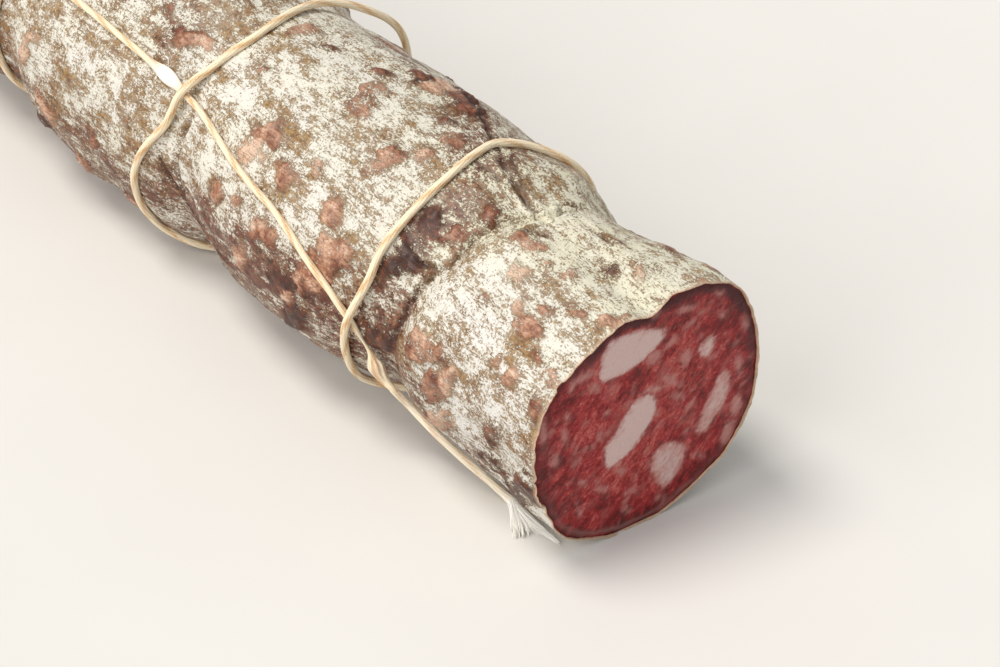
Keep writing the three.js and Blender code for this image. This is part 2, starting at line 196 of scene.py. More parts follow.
def place_camera():
    azimuth, elevation, roll = (math.radians(v) for v in (CAMERA_AZIMUTH, CAMERA_ELEVATION, CAMERA_ROLL))
    back = Vector((
        math.sin(azimuth) * math.cos(elevation), -math.cos(azimuth) * math.cos(elevation), math.sin(elevation)
    ))
    right = Vector((math.cos(azimuth), math.sin(azimuth), 0))
    up = back.cross(right)
    across = math.cos(roll) * right + math.sin(roll) * up
    upward = math.cos(roll) * up - math.sin(roll) * right
    data = bpy.data.cameras.new("camera")
    data.lens = CAMERA_LENS
    data.sensor_width = CAMERA_SENSOR
    data.clip_end = CAMERA_FAR
    camera = put("camera", data)
    camera.matrix_world = Matrix.Translation(CAMERA_PLACE) @ Matrix((across, upward, back)).transposed().to_4x4()
    bpy.context.scene.camera = camera


place_camera()


def smooth(table, x):
    """A smooth curve through a table of (x, value)"""
    xs, values = np.array(table, float).T
    x = np.clip(np.asarray(x, float), xs[0], xs[-1])
    i = np.clip(np.searchsorted(xs, x, side="right") - 1, 0, len(xs) - 2)
    slopes = np.empty_like(values)
    slopes[1:-1] = (values[2:] - values[:-2]) / (xs[2:] - xs[:-2])
    slopes[0] = (values[1] - values[0]) / (xs[1] - xs[0])
    slopes[-1] = (values[-1] - values[-2]) / (xs[-1] - xs[-2])
    h = xs[i + 1] - xs[i]
    s = (x - xs[i]) / h
    return (
        (2 * s**3 - 3 * s**2 + 1) * values[i] + (s**3 - 2 * s**2 + s) * h * slopes[i]
        + (3 * s**2 - 2 * s**3) * values[i + 1] + (s**3 - s**2) * h * slopes[i + 1]
    )


def turn(a, b):
    """The difference of two angles in degrees, from -180 to 180"""
    return (a - b + 180) % 360 - 180


def hill(d, spread):
    return np.exp(-((d / spread) ** 2))


def rise(v, low, high):
    """0 below low, 1 above high and a smooth step between"""
    t = np.clip((v - low) / (high - low), 0, 1)
    return t * t * (3 - 2 * t)


def on_body(x):
    return np.clip((x - FADE_FROM) / FADE_LENGTH, 0, 1)


def random_numbers(seed):
    state = seed
    while True:
        state = state * 16807 % 2147483647
        yield state / 2147483647


def lattice_noise(points, seed):
    """Smooth random values from -1 to 1 over space, with cells of 1"""
    cell = np.floor(points).astype(np.int64)
    t = points - cell
    t = t**3 * (t * (t * 6 - 15) + 10)
    total = np.zeros(len(points))
    for corner in range(8):
        step = np.array([corner & 1, corner >> 1 & 1, corner >> 2 & 1])
        c = cell + step
        n = (c[:, 0] * 374761393 + c[:, 1] * 668265263 + c[:, 2] * 1442695041 + seed * 97) & 0xFFFFFFFF
        n = ((n ^ (n >> 13)) * 1274126177) & 0xFFFFFFFF
        n = ((n ^ (n >> 16)) * 2246822519) & 0xFFFFFFFF
        n = n ^ (n >> 15)
        weight = np.prod(np.where(step == 1, t, 1 - t), axis=1)
        total += weight * (n / 0xFFFFFFFF * 2 - 1)
    return total


def grain(points, size, seed, octaves=3, stretch=(1, 1, 1)):
    """Noise whose largest features are size millimetres, stretched along the axes"""
    scaled = points / (size * np.array(stretch, float))
    total = sum(lattice_noise(scaled * 2**k + 17.3 * k, seed + k) / 2**k for k in range(octaves))
    return total / sum(1 / 2**k for k in range(octaves))


def profile(x):
    x = np.asarray(x, float)
    t = np.clip((DOME_X - x) / (DOME_X - NECK_X), 0, 1)
    dome = NECK_RADIUS + (BODY_RADIUS[0][1] - NECK_RADIUS) * (1 - t ** DOME_POWERS[0]) ** DOME_POWERS[1]
    f = np.clip((NECK_X - x) / (NECK_X - TIP_X), 0, 1)
    flare = NECK_RADIUS + (TIP_RADIUS - NECK_RADIUS) * f**FLARE_POWER
    return np.where(x > DOME_X, smooth(BODY_RADIUS, x), np.where(x > NECK_X, dome, flare))


def waist_depth(x, angle):
    depth = 0
    for w in WAISTS:
        u = x - w["x"] - w["lean"] * np.cos(np.radians(angle - w["at"]))
        front = w["front"] * (1 + w["widen"] * hill(turn(angle, w["deep_at"]), WIDE_SPREAD))
        full = w["depth"] * (1 + w["uneven"] * np.cos(np.radians(angle - w["deep_at"])))
        depth = depth + full * hill(u, np.where(u > 0, front, w["back"]))
    return depth


def smooth_radius(x, angle):
    near = hill(np.maximum(CUT_X - x, 0), CUT_OUTLINE_REACH)
    a = np.radians(angle)
    wobble = sum(height * np.sin(waves * a + x / pitch + start) for waves, height, pitch, start in WOBBLE)
    r = profile(x) + (1 - near) * on_body(x) * wobble
    for at, height, spread in CUT_OUTLINE:
        r = r + near * height * hill(turn(angle, at), spread)
    return r - waist_depth(x, angle)


def middle(x):
    return smooth(MIDDLE_Y, x), smooth(MIDDLE_Z, x)


def lump_height(x, angle):
    draw = random_numbers(LUMP_SEED)
    h = np.zeros_like(x)
    for i in range(LUMP_COUNT):
        at_x = LUMP_FROM + (LUMP_TO - LUMP_FROM) * ((i + 0.5) / LUMP_COUNT) + LUMP_SHIFT * (next(draw) - 0.5)
        at_angle = (i * GOLDEN_ANGLE + LUMP_TURN * (next(draw) - 0.5)) % 360
        size = LUMP_SIZE[0] + LUMP_SIZE[1] * next(draw)
        stretch = LUMP_STRETCH[0] + LUMP_STRETCH[1] * next(draw)
        height = LUMP_HEIGHT[0] + LUMP_HEIGHT[1] * next(draw) ** 2
        du = (x - at_x) / (size * stretch)
        dv = np.radians(turn(angle, at_angle)) * MEAN_RADIUS / size
        h += height * np.exp(-(du**2) - dv**2)
    return h * on_body(x)


def gathers(x, angle):
    g = np.clip((GATHERS_FROM - x) / (GATHERS_FROM - NECK_X), 0, 1)
    return profile(x) * GATHER_DEPTH * g * np.cos(GATHERS * np.radians(angle))


def ring_at(points, angle):
    rows = [(a + shift, x, lift) for shift in (-360, 0, 360) for x, a, lift in points]
    return smooth([(a, x) for a, x, _ in rows], angle), smooth([(a, lift) for a, _, lift in rows], angle)


def through(points, steps):
    """Points on a uniform Catmull-Rom curve, which runs through the given ones"""
    p = np.array(points, float)
    p = np.vstack([2 * p[0] - p[1], p, 2 * p[-1] - p[-2]])
    at = np.linspace(0, len(points) - 1, steps + 1)
    i = np.minimum(at.astype(int), len(points) - 2)
    t = (at - i)[:, None]
    a, b, c, d = (p[i + k] for k in range(4))
    return 0.5 * (2 * b + (c - a) * t + (2 * a - 5 * b + 4 * c - d) * t**2 + (3 * b - a - 3 * c + d) * t**3)


LENGTHWISE_WAY = through(LENGTHWISE, LENGTHWISE_GUIDE)


def free_of_twine(x, angle):
    """0 under a twine, 1 well away from all of them"""
    free = 1
    for points in RINGS.values():
        ring_x, lift = ring_at(points, angle % 360)
        free = free * (1 - hill(np.maximum(lift - OVER, 0), 1) * hill(x - ring_x, PRESSED))
    along = smooth(LENGTHWISE_WAY[:, :2], x)
    reach = np.where(x < LENGTHWISE[-1][0] + PRESSED, 1, 0)
    free = free * (1 - reach * hill(np.radians(turn(angle, along)) * profile(x), PRESSED))
    lean = hill(x - LEAN_X, LEAN_REACH) * hill(np.radians(turn(angle, LEAN_ANGLE)) * profile(x), 2 * PRESSED)
    return free * (1 - lean)


def over_casing(x, angle, lift):
    """Points at a height above the smooth casing, and the directions away from it"""
    step = SLOPE_STEP
    on_neck = x < NECK_X
    r = np.where(on_neck, profile(x), smooth_radius(x, angle))
    slope = (smooth_radius(x + step, angle) - smooth_radius(x - step, angle)) / (2 * step)
    slope = np.where(on_neck, 0, np.clip(slope, -STEEPEST, STEEPEST))
    a = np.radians(angle)
    out = np.stack([-slope, np.cos(a), np.sin(a)], axis=-1)
    out /= np.linalg.norm(out, axis=-1, keepdims=True)
    cy, cz = middle(x)
    point = np.stack([x, cy + r * np.cos(a), cz + r * np.sin(a)], axis=-1)
    return point + out * np.asarray(lift)[..., None], out


def sunk(lift):
    return lift - SUNK - SUNK_MORE * rise(lift, SUNK_MORE_FROM, OVER)


# Nodes

def linear(code):
    """The linear colour of an sRGB hex code"""
    parts = [int(code[i:i + 2], 16) / 255 for i in (1, 3, 5)]
    return [*(c / 12.92 if c <= 0.04045 else ((c + 0.055) / 1.055) ** 2.4 for c in parts), 1]


def add(tree, kind, *values, sockets=None, stops=(), output=None, **settings):
    """Adds a node with its settings and links, and gives back its first output, or the one that output names.
    Values go to its inputs in order and sockets to those that they name. Each is another node's output, a
    number, a vector or an sRGB code. stops are a ramp's places and colours."""
    made = tree.nodes.new(kind)
    for name, value in settings.items():
        setattr(made, name, value)
    pairs = [*zip([i for i in made.inputs if i.enabled], values)]
    pairs += [(made.inputs[name], value) for name, value in (sockets or {}).items()]
    for socket, value in pairs:
        if isinstance(value, bpy.types.NodeSocket):
            tree.links.new(value, socket)
        else:
            is_colour = isinstance(value, str) and value.startswith("#")
            socket.default_value = linear(value) if is_colour else value
    for i, (place, code) in enumerate(stops):
        element = made.color_ramp.elements[i] if i < 2 else made.color_ramp.elements.new(place)
        element.position = place
        element.color = linear(code)
    return made.outputs[output] if output else next(iter(o for o in made.outputs if o.enabled), None)


def new_material(name, finish):
    """A Principled material. finish gives its constant sockets."""
    material = bpy.data.materials.new(name)
    material.use_nodes = True
    tree = material.node_tree
    shader = tree.nodes["Principled BSDF"]
    for key, value in finish.items():
        shader.inputs[key].default_value = value
    return material, tree, shader


def add_noises(tree, place, table):
    """Noises by name, from (name, size in millimetres, detail, stretch along the axes)"""
    made = {}
    for name, size, detail, stretch in table:
        scaled = add(tree, "ShaderNodeMapping", place, sockets={"Scale": [1 / (MM * size * s) for s in stretch]})
        made[name] = add(tree, "ShaderNodeTexNoise", scaled, sockets={"Scale": 1, "Detail": detail, "Roughness": 0.6})
    return made


def vary(tree, value, noises, **shares):
    """Adds noises to a value, each centred on 0 and in its share"""
    for name, share in shares.items():
        spread = add(tree, "ShaderNodeMath", noises[name], 0.5, operation="SUBTRACT")
        value = add(tree, "ShaderNodeMath", spread, share, value, operation="MULTIPLY_ADD")
    return value


# Meshes

def write_fields(mesh, kind, key, fields):
    """Stores numbers or directions at a mesh's points by name"""
    for name, values in fields.items():
        mesh.attributes.new(name, kind, "POINT").data.foreach_set(key, np.ravel(values).astype(np.float32))


def new_piece(name, points, faces, material, fields=()):
    """A mesh object from points in millimetres, with numbers for its points that the material reads"""
    mesh = bpy.data.meshes.new(name)
    mesh.from_pydata((np.asarray(points) * MM).tolist(), [], faces)
    write_fields(mesh, "FLOAT", "value", dict(fields))
    mesh.shade_smooth()
    mesh.materials.append(material)
    mesh.validate()
    return put(name, mesh)


def band_faces(rows, count, first=0):
    """Quads between rows of points that each run once round"""
    faces = []
    for i in range(rows - 1):
        for j in range(count):
            k = (j + 1) % count
            a = first + i * count
            faces.append((a + j, a + k, a + count + k, a + count + j))
    return faces


def fan_faces(centre, row, count, turned):
    """Triangles from a centre to a row, turned the other way round for the other end"""
    pairs = [(row + j, row + (j + 1) % count) for j in range(count)]
    return [(centre, b, a) if turned else (centre, a, b) for a, b in pairs]


# The casing

AROUND = 272
EDGE_THICK = 0.45
POCKET = 3
EDGE_FADE = 3.5
EDGE_RADIUS = 33
# How the casing turns in behind its cut edge: (how far in, how far ahead)
EDGE_ROLL = [(0.04, 0.14), (0.14, 0.24), (0.3, 0.2), (EDGE_THICK, -0.1), (EDGE_THICK, -POCKET)]
# Where the casing's cut edge is torn back: (angle, depth in millimetres, spread)
EDGE_TEARS = [(191, 1.3, 2.4), (262, 0.9, 2), (83, 0.6, 3)]

# Bare places where meat or lard lifts the casing and keeps the mould off: (x, angle, half length, half width,
# turn), from the palest lard to the darkest meat
LARD_LUMPS = [
    (109, 173, 5.1, 2.2, -77), (112, 120, 3.6, 2.4, -30), (119, 129, 2, 1.7, 0), (104, 201, 10, 3, -52),
    (48, 69, 5.6, 2.9, 59), (30, 146, 4.7, 2.9, -16), (50, 133, 2.5, 1, 41), (42, 165, 2.8, 1.4, -30),
    (36, 186, 3.9, 2.5, -71), (55, 186, 3.4, 2.4, -67), (69, 105, 2.4, 1.5, -56), (131, 86, 2.4, 1.5, 33),
]
MEAT_LUMPS = [
    (108, 107, 4.9, 3, -10), (115, 110, 1.9, 1.5, 29), (121, 105, 2, 1.7, 52), (138, 111, 2.7, 2.2, -75),
    (140, 105, 2.1, 1.1, 90), (131, 116, 2.6, 1.4, -36), (125, 132, 4.2, 2.3, -14), (125, 124, 2.6, 2.2, -5),
    (110, 135, 2.1, 1.5, -23), (122, 149, 1.5, 1.4, 0), (128, 151, 3.1, 2.5, -44), (132, 139, 1.9, 1.6, 0),
    (100, 167, 6.8, 3.3, -29), (104, 182, 6.5, 3.1, -60), (139, 142, 2.9, 2.5, -43), (139, 154, 2.5, 1.9, 62),
    (139, 71, 2.2, 1.2, -37), (-6, 123, 5.5, 2.3, -27), (-2, 122, 3.5, 1.8, -26), (16, 117, 2.3, 1.5, -15),
    (43, 95, 3.5, 2.6, -71), (45, 104, 4.2, 3.1, -25), (32, 136, 5.6, 3.3, -17), (44, 143, 4.2, 3, -15),
    (63, 112, 4.3, 2.9, -12), (63, 120, 2.6, 2.1, 7), (70, 94, 3, 2.9, 46), (61, 144, 3.8, 3, -9),
    (45, 167, 6, 2.2, -29), (24, 169, 2.9, 2.3, -61), (33, 164, 2.4, 1.9, -33), (67, 157, 6.6, 4.1, -34),
    (64, 169, 6.3, 4.3, -39), (90, 122, 4.5, 2, -66), (-20, 119, 2, 1.4, -2), (10, 91, 3.9, 2.1, -27),
]
DARK_LUMPS = [
    (125, 92, 2.6, 1.8, 38), (138, 90, 2.2, 1.1, -29), (126, 181, 5.6, 2.3, -59), (135, 203, 11, 4.6, -55),
    (21, 92, 2.6, 1.3, -51), (37, 85, 3.5, 2.1, -10), (42, 71, 3.6, 3.4, -63), (55, 67, 7.3, 4.3, 42),
    (63, 86, 2.6, 1.6, -35), (53, 181, 6.6, 2.1, -29), (83, 123, 3, 2.1, -67), (82, 137, 3.2, 2.5, -42),
    (83, 146, 4.9, 3.1, -39), (92, 107, 3, 2.4, -49), (56, 196, 7.7, 2.7, -45), (82, 185, 5.3, 3.1, -36),
]
# Where the mould is thickest
WHITE_PATCHES = [
    (98, 141, 8.2, 5.5, -47), (107, 123, 3.4, 2.7, -15), (116, 147, 2.7, 2.1, -27), (114, 158, 4.5, 3.3, -39),
    (125, 169, 4.1, 2.7, -72), (134, 161, 4.5, 2.8, -79), (133, 133, 3.1, 2.5, -54), (106, 111, 1.6, 1.2, 21),
    (115, 190, 5.4, 2.8, -64), (125, 115, 3.6, 3.1, 0), (20, 134, 5.3, 3.8, 21), (13, 132, 4.3, 2.7, -9),
    (16, 162, 6.2, 4.1, -28), (56, 128, 4.2, 2.2, -27), (55, 145, 3.6, 2.4, 75), (55, 158, 5.6, 1.9, -20),
    (68, 142, 3.4, 2, -28), (58, 93, 4.5, 2.1, -23), (67, 87, 4, 1.6, -42), (5, 120, 3.9, 2.9, -39),
    (25, 113, 5, 3.6, -3), (32, 172, 5.5, 2.7, -42), (72, 133, 3.2, 2.1, -28), (75, 118, 3.1, 2.8, 64),
    (29, 92, 3.8, 3.4, 8), (31, 72, 5.5, 2.9, 48),
]
# Where the mould is thin and the skin brown: (x, angle, half length, half width in degrees)
WORN = [
    (66, 66, 17, 13), (38, 62, 18, 8), (58, 178, 26, 20), (28, 186, 20, 18), (84, 130, 6, 30), (-14, 125, 7, 16),
    (75, 88, 10, 16),
]
# Where it is thicker than elsewhere all over, in the same terms
FLOURY = [(10, 128, 15, 26), (28, 100, 12, 18)]
LARD_TONE = 0.1
MEAT_TONE = 0.5
DARK_TONE = 0.85
PATCH_WARP = 1.1
WARP_SIZE = 3.2
FAR_OUTSIDE = -9.0
FAR_AWAY = 99.0

# On the sides that the photograph doesn't show, the same kinds of place are scattered
SCATTER_SEED = 77
SCATTER_COUNT = 200
SCATTER_FROM = -125
SCATTER_LENGTH = 265
SCATTER_TURN = 60
# What each has at least, and what chance adds to it
PATCH_LONG = (2, 4)
PATCH_WIDE = (0.45, 0.4)
PATCH_TURNED = (-70, 110)
SEEN_FROM_X = -22
SEEN_ANGLES = (62, 202)

# Creases as (x, angle) points: the folds at the two waists and the wrinkles that run into them
FOLD = [
    (87.5, 178), (88, 167), (88.4, 158), (90, 148), (91.5, 141), (93.7, 134), (94, 125), (94.5, 117),
    (95.5, 107), (97.2, 99), (100, 91), (101, 79), (101.5, 66),
]
CREASES = [
    [(68, 73), (83, 84), (91, 88), (97, 91), (104, 92)],
    [(81, 84), (86, 87), (90, 89), (95, 90)],
    [(81, 79), (88, 84), (93, 88), (100, 90)],
    [(99, 80), (99.5, 73), (100, 65)],
    [(53, 64), (59, 66), (66, 70), (71, 75), (75, 77)],
    [(100, 79), (108, 81), (114, 81), (118, 81)],
    [(82, 138), (87, 141), (91, 138)],
    [(82, 147), (85, 142), (88, 140), (91, 138)],
    [(104, 103), (103, 91), (101, 78)],
    [(107, 210), (113, 214), (118, 218), (125, 214)],
    [(5.2, 149), (3.9, 161), (3.2, 172), (4.5, 182), (6.8, 193), (14.7, 193), (18, 195)],
    [(-2, 176), (1, 184), (6, 190), (10, 194), (18, 197), (27, 198)],
    [(76, 95), (82, 92), (86, 91)],
    [(100, 103), (104, 102), (108, 99)],
]
CREASE_DEPTH = 0.7
CREASE_WIDTH = 0.8
CREASE_BANK = 0.35
FOLD_STEP = 1.5
FOLD_BEHIND = 2.6
FOLD_BANK = 0.4

# How high the bare lumps stand, and how much less where the far side's outline runs through them
BARE_LIFT = 1.15
BARE_LIFT_LESS = 0.75
OUTLINE_ANGLE = 50
OUTLINE_SPREAD = 16
RIDGE_HEIGHT = 0.34
SPECK_HEIGHT = 0.14


# Broad swells and hollows of the far side: (x, angle, half length, half width in degrees, height)
SWELLS = [
    (90, 52, 7, 28, 2.2), (83, 50, 4, 22, 0.7), (112, 48, 12, 26, -2.6), (16, 46, 24, 30, -2.6),
    (40, 46, 14, 26, -0.8),
]


def casing_stations():
    """Places along the salami, closest where the photograph shows folds"""
    spacing = [
        (TIP_X, 0.9), (NECK_X, 0.7), (DOME_X - 12, 1.1), (-40, 1.05), (-20, 0.8), (70, 0.8), (82, 0.5),
        (102, 0.5), (108, 0.75), (132, 0.7), (137, 0.5), (CUT_X, 0.5),
    ]
    places = [TIP_X]
    while places[-1] < CUT_X:
        places.append(places[-1] + float(np.interp(places[-1], *zip(*spacing))))
    places = np.array(places)
    return TIP_X + (places - TIP_X) * (CUT_X - TIP_X) / (places[-1] - TIP_X)


def in_oval(u, v, long, wide, turned):
    """1 at the middle of a turned oval, 0 on its line and negative outside"""
    c, s = math.cos(math.radians(turned)), math.sin(math.radians(turned))
    return 1 - np.hypot((u * c + v * s) / long, (v * c - u * s) / wide)


def patch_depth(x, angle, patches, warp):
    """How far inside the nearest patch each point is, in millimetres, negative outside"""
    deepest = np.full(len(x), FAR_OUTSIDE)
    for at_x, at_angle, long, wide, turned in patches:
        du = x - at_x + PATCH_WARP * wide * warp[0]
        dv = np.radians(turn(angle, at_angle)) * MEAN_RADIUS + PATCH_WARP * wide * warp[1]
        deepest = np.maximum(deepest, in_oval(du, dv, long, wide, turned) * math.sqrt(long * wide))
    return deepest


def scattered():
    """Patches of the three tones and of mould for the unseen sides"""
    draw = random_numbers(SCATTER_SEED)
    groups = {"lard": [], "meat": [], "dark": [], "white": []}
    kinds = ["lard", "meat", "meat", "dark", "white", "white", "meat", "white"]
    for i in range(SCATTER_COUNT):
        x = SCATTER_FROM + SCATTER_LENGTH * (i + next(draw)) / SCATTER_COUNT
        angle = (i * GOLDEN_ANGLE + SCATTER_TURN * next(draw)) % 360
        long = PATCH_LONG[0] + PATCH_LONG[1] * next(draw) ** 1.5
        wide = long * (PATCH_WIDE[0] + PATCH_WIDE[1] * next(draw))
        turned = PATCH_TURNED[0] + PATCH_TURNED[1] * next(draw)
        seen = x > SEEN_FROM_X and SEEN_ANGLES[0] < angle < SEEN_ANGLES[1]
        if not seen:
            groups[kinds[i % len(kinds)]].append((x, angle, long, wide, turned))
    return groups


def way_distance(x, angle, way):
    """Distance in millimetres along the skin to a crease, and which side of it each point is on"""
    nearest = np.full(len(x), FAR_AWAY)
    side = np.zeros(len(x))
    points = [(at_x, math.radians(at_angle) * MEAN_RADIUS) for at_x, at_angle in way]
    v = np.radians(angle) * MEAN_RADIUS
    for (x0, v0), (x1, v1) in zip(points, points[1:]):
        along = np.array([x1 - x0, v1 - v0])
        length = np.hypot(*along)
        t = np.clip(((x - x0) * along[0] + (v - v0) * along[1]) / length**2, 0, 1)
        d = np.hypot(x - x0 - t * along[0], v - v0 - t * along[1])
        beside = np.sign(along[0] * (v - v0) - along[1] * (x - x0))
        side = np.where(d < nearest, beside, side)
        nearest = np.minimum(nearest, d)
    return nearest, side


def places_sum(x, angle, places):
    """How strongly each point belongs to soft round places, from 0 to 1"""
    total = sum(hill(x - at_x, long) * hill(turn(angle, at_angle), wide) for at_x, at_angle, long, wide in places)
    return np.clip(total, 0, 1)


def skin_fields(x, angle):
    """The relief of the casing and the numbers that its material reads, for flat arrays of places"""
    cy, cz = middle(x)
    a = np.radians(angle)
    r = profile(x)
    at = np.stack([x, cy + r * np.cos(a), cz + r * np.sin(a)], axis=1)
    free = free_of_twine(x, angle)
    warp = grain(at, WARP_SIZE, 11), grain(at, WARP_SIZE, 23)
    extra = scattered()
    lard = patch_depth(x, angle, LARD_LUMPS + extra["lard"], warp)
    meat = patch_depth(x, angle, MEAT_LUMPS + extra["meat"], warp)
    dark = patch_depth(x, angle, DARK_LUMPS + extra["dark"], warp)
    white = patch_depth(x, angle, WHITE_PATCHES + extra["white"], warp)
    bare = np.maximum.reduce([lard, meat, dark])

    low = rise(-np.sin(a), -0.35, 0.35)
    # recess marks the waist behind the front ring: tone, warm and dark below paint it darker and redder there, as
    # painted shade
    recess = hill(x - 86 - 2.5 * np.cos(np.radians(angle - 50)), 7) * hill(turn(angle, 155), 45)
    top = hill(turn(angle, 80), 45)
    lumps = lump_height(x, angle)
    ridges = grain(at, 2.6, 51, 3, (2.2, 1, 1))
    drum = rise(x, 92, 108)
    cover = 0.69 + 0.16 * grain(at, 14, 31) + 0.14 * grain(at, 4.5, 37)
    cover += 0.22 * rise(white, -1.6, 1.4) + 0.12 * top * drum
    cover -= 0.24 * low * (1 - 1.4 * drum) + 0.16 * rise(grain(at, 7, 101), 0.2, 0.55)
    cover -= 0.5 * rise(bare, -1.2, 1.4) + 0.4 * ridges + 0.12 * rise(lumps, 0.4, 1)
    worn = places_sum(x, angle, WORN)
    cover += 0.1 * places_sum(x, angle, FLOURY) - 0.19 * worn

    weights = [np.exp(2.2 * np.clip(f, -4, 2)) for f in (lard, meat, dark)]
    tone = (weights[0] * LARD_TONE + weights[1] * MEAT_TONE + weights[2] * DARK_TONE) / sum(weights)
    tone = tone + 0.35 * grain(at, 5, 43) + 0.25 * low + 0.14 * recess + 0.3 * rise(-bare, -1.4, 0.8) - 0.1

    relief = lumps + gathers(x, angle)
    lift = BARE_LIFT - BARE_LIFT_LESS * hill(turn(angle, OUTLINE_ANGLE), OUTLINE_SPREAD)
    relief += lift * rise(bare, -1, 1.8) * on_body(x)
    relief += (RIDGE_HEIGHT * ridges * (0.8 + 0.5 * low) + SPECK_HEIGHT * grain(at, 1.6, 57, 2)) * on_body(x)
    relief *= free
    for at_x, at_angle, long, wide, height in SWELLS:
        relief += height * hill(x - at_x, long) * hill(turn(angle, at_angle), wide)

    # creased marks the creases and the low side behind the fold: the mould thins there, and the skin is painted
    # darker as painted shade
    creased = np.zeros(len(x))
    for way in CREASES:
        d, _ = way_distance(x, angle, way)
        relief += (CREASE_BANK * hill(d - 1.5, 0.9) - CREASE_DEPTH * hill(d, CREASE_WIDTH)) * (0.3 + 0.7 * free)
        creased = np.maximum(creased, hill(d, 1.1))
    d, side = way_distance(x, angle, FOLD)
    ends = rise(angle, 60, 80) * rise(-angle, -190, -172)
    behind = side > 0
    ahead = FOLD_BANK * hill(d - 1, 1.5) - FOLD_STEP * hill(d, 0.4)
    relief += ends * np.where(behind, -FOLD_STEP * np.exp(-d / FOLD_BEHIND), ahead)
    # Painted shade on the low side behind the fold step and in the line of the fold
    creased = np.maximum(creased, ends * np.where(behind, 0.9 * np.exp(-d / 0.6), hill(d, 0.3)))
    lip = ends * np.where(behind, 0, hill(d - 0.8, 0.7)) * rise(angle, 92, 105)
    # Painted shade in the waist recess, broken into patches
    recess_shade = 0.6 * recess * rise(grain(at, 5, 103), -0.15, 0.35)
    fields = dict(
        mould=cover - 0.3 * creased - 0.15 * lip,
        tone=np.clip(tone + 0.4 * creased - 0.2 * lip, 0, 1),
        bare=np.clip(rise(bare, -1.8, 1.2) + 0.7 * lip, 0, 1),
        warm=np.clip(0.12 + 0.75 * low + 0.5 * recess + 0.8 * worn + 0.6 * grain(at, 11, 67), 0, 1),
        green=np.clip(top * rise(x, 70, 95) + 0.3 * top + 0.25 * (1 - drum) + 0.35 * grain(at, 9, 61), 0, 1),
        streaks=np.clip(low * (1 - 0.6 * drum) + 0.4 * recess, 0, 1),
        # dark is painted shade: in the creases, behind the fold, in the waist recess, and as a painted shadow ring
        # round the foot of each bare lump
        dark=np.clip(creased + recess_shade + 0.45 * hill(bare + 0.9, 0.5), 0, 1),
    )
    return relief, fields


def body_points(x, angle, relief, wall=0, forward=0):
    """Points of the salami: relief above its smooth shape, and a wall's thickness above the floor"""
    a = np.radians(angle)
    cy, cz = middle(x)
    r = smooth_radius(x, angle) + relief
    y = cy + r * np.cos(a)
    z = np.maximum(cz + r * np.sin(a), wall)
    at_cut = np.clip(1 - (CUT_X - x) / CUT_BLEND, 0, 1)
    return np.stack([x + forward + at_cut * (y - CUT_PIVOT_Y) * math.tan(CUT_SLANT), y, z], axis=-1)


def ragged(angle):
    """How far forward the casing's cut edge reaches, in millimetres"""
    a = np.radians(angle)
    at = np.stack([EDGE_RADIUS * np.cos(a), EDGE_RADIUS * np.sin(a), 0 * a], axis=1)
    edge = 0.3 * grain(at, 3.5, 71) + 0.16 * grain(at, 1.1, 73)
    for at_angle, set_back, spread in EDGE_TEARS:
        edge = edge - set_back * hill(turn(angle, at_angle), spread)
    return edge


def make_casing(material):
    angles = np.arange(AROUND) * 360 / AROUND
    stations = casing_stations()
    x, angle = (v.ravel() for v in np.meshgrid(stations, angles, indexing="ij"))
    relief, fields = skin_fields(x, angle)
    edge = ragged(angles)
    forward = np.tile(edge, len(stations)) * rise(x, CUT_X - EDGE_FADE, CUT_X)
    points = body_points(x, angle, relief, 0, forward)
    rows = [points]
    for inward, ahead in EDGE_ROLL:
        ahead = ahead + (edge if ahead > -1 else 0)
        rows.append(body_points(x[-AROUND:], angles, relief[-AROUND:] - inward, inward, ahead))
    count = len(stations) + len(rows) - 1
    rows = np.vstack(rows)
    total = count * AROUND
    faces = band_faces(count, AROUND)
    faces += fan_faces(total, 0, AROUND, True) + fan_faces(total + 1, total - AROUND, AROUND, False)
    points = np.vstack([rows, rows[:AROUND].mean(axis=0), rows[-AROUND:].mean(axis=0)])
    extra = len(points) - len(x)
    fields = {key: np.concatenate([v, np.resize(v[-AROUND:], extra)]) for key, v in fields.items()}
    fields["edge"] = np.concatenate([0.5 * rise(x, CUT_X - 1, CUT_X), np.ones(extra)])
    return new_piece("casing", points, faces, material, fields)


# The cut face

FACE_AROUND = 400
FACE_ROWS = 112
MEAT_BACK = 0.12
FACE_GAP = 0.02
FACE_INSET = 0.3
# Its side, which lies in the casing: (how much further in, how far ahead)
FACE_SIDE = [(0, 0.1 - POCKET), (0, -0.55), (0.08, -0.3)]
STREAK_TURN = math.radians(55)
# Where fine pale sinew runs through the lean: (y, z, spread)
SINEWY = [(11, 38, 9), (3, 20, 7), (8, 51, 7)]

# The big pieces of lard in the cut, as outlines of (y, z)
LARD_OUTLINES = [
    [(-9.5, 60.5), (-5.5, 60.3), (-1, 60), (4, 58.8), (7, 57.3), (5.5, 54.5), (2.5, 52.2), (-1, 51),
     (-5, 50), (-11, 50.3), (-10.7, 56)],
    [(1.5, 40), (6.5, 38.5), (5.5, 37), (6, 33), (3.5, 29.5), (1, 26), (-3, 24), (-6.5, 23), (-7.5, 28.5),
     (-4.5, 33), (-2, 36), (-0.5, 38)],
    [(26, 37), (28.5, 35), (28, 30), (26.5, 26), (24, 22.5), (21, 20.5), (20, 23), (21.5, 26.5), (23, 31),
     (24.5, 34.5)],
    [(10, 22), (13.5, 21), (16.5, 18.5), (16.5, 13.5), (15, 11.5), (12.5, 8.5), (10, 10.5), (7.5, 16.5),
     (7.5, 20)],
    [(18.5, 48), (21.5, 50), (21.5, 46), (20, 44.5), (18, 46.5)],
]
LARD_WHITENESS = [0.95, 1, 0.78, 0.78, 0.9]
LARD_SWELL = 0.5
LARD_ROUND = 1.3
LARD_NEAR = -1.2
